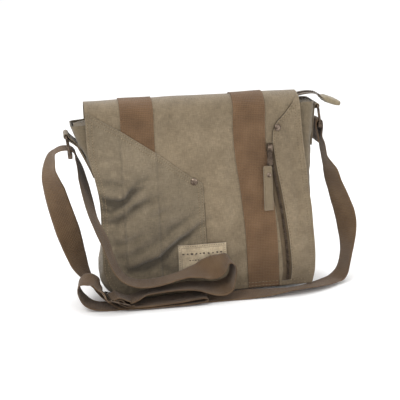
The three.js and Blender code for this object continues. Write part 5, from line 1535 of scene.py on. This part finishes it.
slider = flap_plate("flap_zip_slider_metal", SLIDER_X, SLIDER_Z, ZIP_SLIDER_LENGTH,
                    [(0, 3.2), (0.2, 4.0), (0.6, 3.6), (1.0, 2.6)], SLIDER_LIFT, ZIP_SLIDER_HEIGHT,
                    looks["highlight_metal"])
dress(slider, "flap_zip_slider")
pull = flap_plate("flap_zip_pull_metal", PULL_X, PULL_Z, PULL_LENGTH,
                  [(0, 2.6), (0.1, 3.4), (0.45, 3.8), (0.6, 4.5), (0.92, 4.5), (1.0, 3.6)], PULL_LIFT,
                  PULL_THICKNESS, looks["metal"])
dress(pull, "flap_zip_pull")
pull_cloth = flap_plate("pull_tab_cloth", TAB_X, TAB_Z, PULL_TAB_LENGTH,
                        [(0, 5.8), (0.04, 7.0), (0.2, 6.9), (0.7, 7.4), (0.97, 7.4), (1.0, 7.0)],
                        PULL_TAB_LIFT,
                        PULL_TAB_THICKNESS, looks["flap_canvas"], 90, 40)
dress(pull_cloth, "pull_tab")
pull_seams = []
for across in (-5.2, 5.2):
    pull_seams += stitch_line([(TAB_X + across, TAB_Z + 0.44 * PULL_TAB_LENGTH), (TAB_X + across, TAB_Z
                               - 0.45 * PULL_TAB_LENGTH)], lambda x,
                               z: PULL_TAB_LIFT + PULL_TAB_THICKNESS - 0.1, 3.6)
bead_points, bead_faces = stitch_shape(2.6, 0.8, 0.4)
pull_thread = scatter_mesh("pull_tab_stitching", bead_points, bead_faces, pull_seams, looks["seam"])
dress(pull_thread)
make_rivet("pull_rivet_dome", (TAB_X + 1.5, TAB_Z + 0.3 * PULL_TAB_LENGTH), PULL_RIVET_RADIUS, 2.0,
           PULL_TAB_LIFT + PULL_TAB_THICKNESS + 0.1, "pull_rivet")


# The roof between the walls, and the zip along it
ROOF_SLOT_WIDTH, ROOF_DEPTH_BELOW_RIM = 9.0, 1.5
ROOF_ZIP_WIDTH, ROOF_ZIP_THICKNESS, ROOF_CAP_LENGTH, ROOF_CAP_WIDTH = 26.0, 1.2, 30.0, 32.0


def roof_height_at(x, share):
    return ROOF_HEIGHT - ROOF_DEPTH_BELOW_RIM - CANVAS + rim_shift(x) + ROOF_CROWN * (1 - share * share)


def make_roof():
    inset = CANVAS + GAP
    left = float(pouch_side(ROOF_HEIGHT - LEFT_DROOP, -1)) + inset + 1
    right = float(pouch_side(ROOF_HEIGHT - LEFT_DROOP, 1)) - inset - 1
    half = float(pouch_half_depth(ROOF_HEIGHT - 4)) - inset - 0.5
    end_half = half - HALF_DEPTH * POUCH_SECTIONS[8, 4]
    x = np.linspace(left, right, 160)
    near_end = np.maximum(smooth_step(-left - 9, -left, -x), smooth_step(right - 9, right, x))
    reach = half + (end_half - half) * near_end
    slot = ROOF_SLOT_WIDTH / 2
    outer_y = np.linspace(-1, 1, 31)
    y = reach[:, None] * outer_y[None]
    inner_line = np.abs(outer_y).argsort()[:3]
    y[:, inner_line] = np.sign(outer_y[inner_line]) * slot * 0.9
    y[:, 15] = 0.0
    share = y / reach[:, None]
    z = roof_height_at(x[:, None], share)
    sag = 0.6 * waves(x[:, None] * np.ones_like(y), y, 45, 51) * (1 - share ** 4)
    z = z + np.clip(sag, -1.5, 0.3)
    middle = (left + right) / 2
    length = (right - left) * 0.86
    inside = np.abs(x - middle) < length / 2
    keep = np.ones((159, 30), dtype=bool)
    cells = inside[:-1] & inside[1:]
    keep[np.ix_(cells, [14, 15])] = False
    outer = np.stack([np.broadcast_to(x[:, None], y.shape), y, z], -1)
    inner = outer - vec(0, 0, CANVAS)
    return slab_mesh("roof_cloth", outer, inner, outer[..., :2], np.ones(y.shape), looks["canvas"], keep)


roof = make_roof()
dress(roof, "roof_panel")

ROOF_ZIP_LINE = [(-0.86, 0.03), (-0.7, 0.06), (-0.55, 0.03), (-0.3, 0.01), (0.2, 0.01), (0.5, 0.04),
                 (0.72, 0.14),
                 (0.88, 0.26), (1.0, 0.38), (1.08, 0.36), (1.15, 0.06)]


def roof_zip_point(along, rise):
    x = along * HALF_BASE
    return vec(x, 0, float(roof_height_at(x, 0)) + GAP + rise * FLAP_RISE)


ROOF_ZIP_POINTS, _ = smooth_route([roof_zip_point(*row) for row in ROOF_ZIP_LINE],
                                  [(0.0, 0.0, 0.0)] * len(ROOF_ZIP_LINE), 16)


# A flat ribbon along points in the XZ plane, between two lifts
def ribbon_mesh(name, points, width, lift, thickness, columns, material, ripple=0.0):
    along = np.gradient(points, axis=0)
    along /= np.linalg.norm(along, axis=1, keepdims=True)
    up = np.stack([-along[:, 2], np.zeros(len(along)), along[:, 0]], 1)
    y = np.linspace(-width / 2, width / 2, columns)
    run = run_along(points)
    wave = ripple * waves(run[:, None] * np.ones(columns), y[None] * np.ones((len(points), 1)), 30, 61)
    middle = points[:, None] + np.array([0, 1, 0]) * y[None, :, None]
    outer = middle + up[:, None] * (lift + thickness + np.maximum(wave, 0)[..., None])
    inner = middle + up[:, None] * (lift + np.maximum(wave, 0)[..., None])
    uv = np.stack(np.broadcast_arrays(y[None, :], run[:, None]), -1)
    return slab_mesh(name, outer, inner, uv, np.ones(uv.shape[:2]), material)


roof_tape = ribbon_mesh("roof_zip_tape_cloth", ROOF_ZIP_POINTS, ROOF_ZIP_WIDTH, 0, ROOF_ZIP_THICKNESS, 24,
                        looks["tape"], 0.15)
dress(roof_tape, "roof_zip_tape")


def make_roof_teeth():
    points = ROOF_ZIP_POINTS
    run = run_along(points)
    along = np.gradient(points, axis=0)
    places = np.arange(1.5, run[-1] - 1.0, 1.7)
    frames = []
    for k, place in enumerate(places):
        here = np.array([np.interp(place, run, points[:, i]) for i in range(3)])
        direction = unit([np.interp(place, run, along[:, i]) for i in range(3)])
        up = vec(-direction[2], 0, direction[0])
        shift = 0.8 if k % 2 else -0.8
        frames.append((here + up * (ROOF_ZIP_THICKNESS + GAP) + vec(0, shift, 0), vec(0, 1, 0), direction,
                       up))
    shape, faces = tooth_shape(4.0, 1.2, 1.5)
    return scatter_mesh("roof_zip_teeth_row", shape, faces, frames, looks["metal"])


roof_teeth = make_roof_teeth()
dress(roof_teeth, "roof_zip_teeth")


def make_cap():
    direction = unit(vec(0.93, 0, -0.36))
    up = vec(0.36, 0, 0.93)
    start = roof_zip_point(*ROOF_ZIP_LINE[-1]) + direction * (GAP + 1)
    rings = []
    for s in np.linspace(0, 1, 30):
        swell = 1.6 + 3.2 * float(smooth_step(0.0, 0.25, s)) - 1.1 * float(smooth_step(0.8, 1.0, s))
        wide = ROOF_CAP_WIDTH / 2 * (0.9 + 0.1 * float(smooth_step(0.0, 0.3, s)))
        middle = start + direction * ROOF_CAP_LENGTH * s
        angles = np.arange(40) / 40 * 2 * math.pi
        flat = np.sign(np.cos(angles)) * np.abs(np.cos(angles)) ** 0.45 * wide
        high = np.sign(np.sin(angles)) * np.abs(np.sin(angles)) ** 0.7 * swell
        high = high + 0.35 * np.sin(flat * 0.5 + s * 7)
        rings.append(middle + flat[:, None] * vec(0, 1, 0) + high[:, None] * up)
    rings = np.array(rings)
    tone = np.ones(rings.shape[:2]) * (1 - 0.25 * np.exp(-((np.linspace(0, 1, 30) - 0.22) / 0.03) ** 2))[:,
                                                                                                         None]
    return tube_mesh("roof_zip_cap_cloth", rings, rings[..., :2].copy(), tone, looks["cap"])


cap = make_cap()
dress(cap, "roof_zip_cap")


# Tabs: a canvas strip up the gusset, round the ring's top bar and down again
def gusset_point(height, side):
    x = float(pouch_side(height, side))
    return vec(x, 0, height + float(rim_shift(x)) * (height / ROOF_HEIGHT) ** 4)


def make_tab(name, side, top_bar, node):
    layer = TAB_THICKNESS / 2 - 0.1
    inner = RING_WIRE / 2 + GAP
    outer = inner + TAB_THICKNESS
    leg_top = top_bar[2] - outer * 0.6

    def wall(height, away):
        along = unit(gusset_point(height + 2, side) - gusset_point(height - 2, side))
        return gusset_point(height, side) + vec(side * along[2], 0, -side * along[0]) * away

    heights = np.linspace(leg_top - TAB_LENGTH, leg_top, 24)
    near = [wall(h, 0.5 + layer / 2) for h in heights]
    far = [wall(h, 0.5 + TAB_THICKNESS - layer / 2) for h in heights[::-1]]
    round_bar = []
    radius = inner + layer / 2 + 0.4
    for k in range(15):
        angle = math.pi * (1.05 - 1.35 * k / 14)
        round_bar.append(top_bar + vec(side * radius * math.cos(angle), 0, radius * math.sin(angle)))
    keys = near[:-2] + round_bar + far[3:]
    path, _ = smooth_route(keys, [(0.0, 0.0, 0.0)] * len(keys), 3)
    tangent = np.gradient(path, axis=0)
    tangent /= np.linalg.norm(tangent, axis=1, keepdims=True)
    normal = np.stack([-tangent[:, 2], np.zeros(len(path)), tangent[:, 0]], 1)
    y = np.linspace(-TAB_WIDTH / 2, TAB_WIDTH / 2, 30)
    run = run_along(path)
    middle = path[:, None] + vec(0, 1, 0) * y[None, :, None]
    uv = np.stack(np.broadcast_arrays(y[None, :], run[:, None]), -1)
    piece = slab_mesh(name, middle + normal[:, None] * layer / 2, middle - normal[:, None] * layer / 2, uv,
                      np.ones(uv.shape[:2]), looks["flap_canvas"])
    dress(piece, node)


make_tab("tab_left_cloth", -1, RING_LEFT[0], "tab_left")
make_tab("tab_right_cloth", 1, RING_RIGHT[0], "tab_right")


# The flap is one cut of canvas, wider at its shoulders than at its hem, with other pieces sewn on it
flap_runs = np.linspace(0, RUN_END, 200)
flap_cut = flap_right(height_at(flap_runs)) - flap_left(height_at(flap_runs))


# The floor, far wider than the picture
def make_floor():
    mesh = bpy.data.meshes.new("floor")
    size = 20.0
    mesh.from_pydata([(-size, -size, 0), (size, -size, 0), (size, size, 0), (-size, size, 0)], [],
                     [(0, 1, 2, 3)])
    floor = bpy.data.objects.new("floor", mesh)
    bpy.context.scene.collection.objects.link(floor)
    material = bpy.data.materials.new("floor_look")
    material.use_nodes = True
    shader = material.node_tree.nodes["Principled BSDF"]
    shader.inputs["Base Color"].default_value = (0.97, 0.97, 0.97, 1.0)
    shader.inputs["Roughness"].default_value = 0.9
    mesh.materials.append(material)


make_floor()
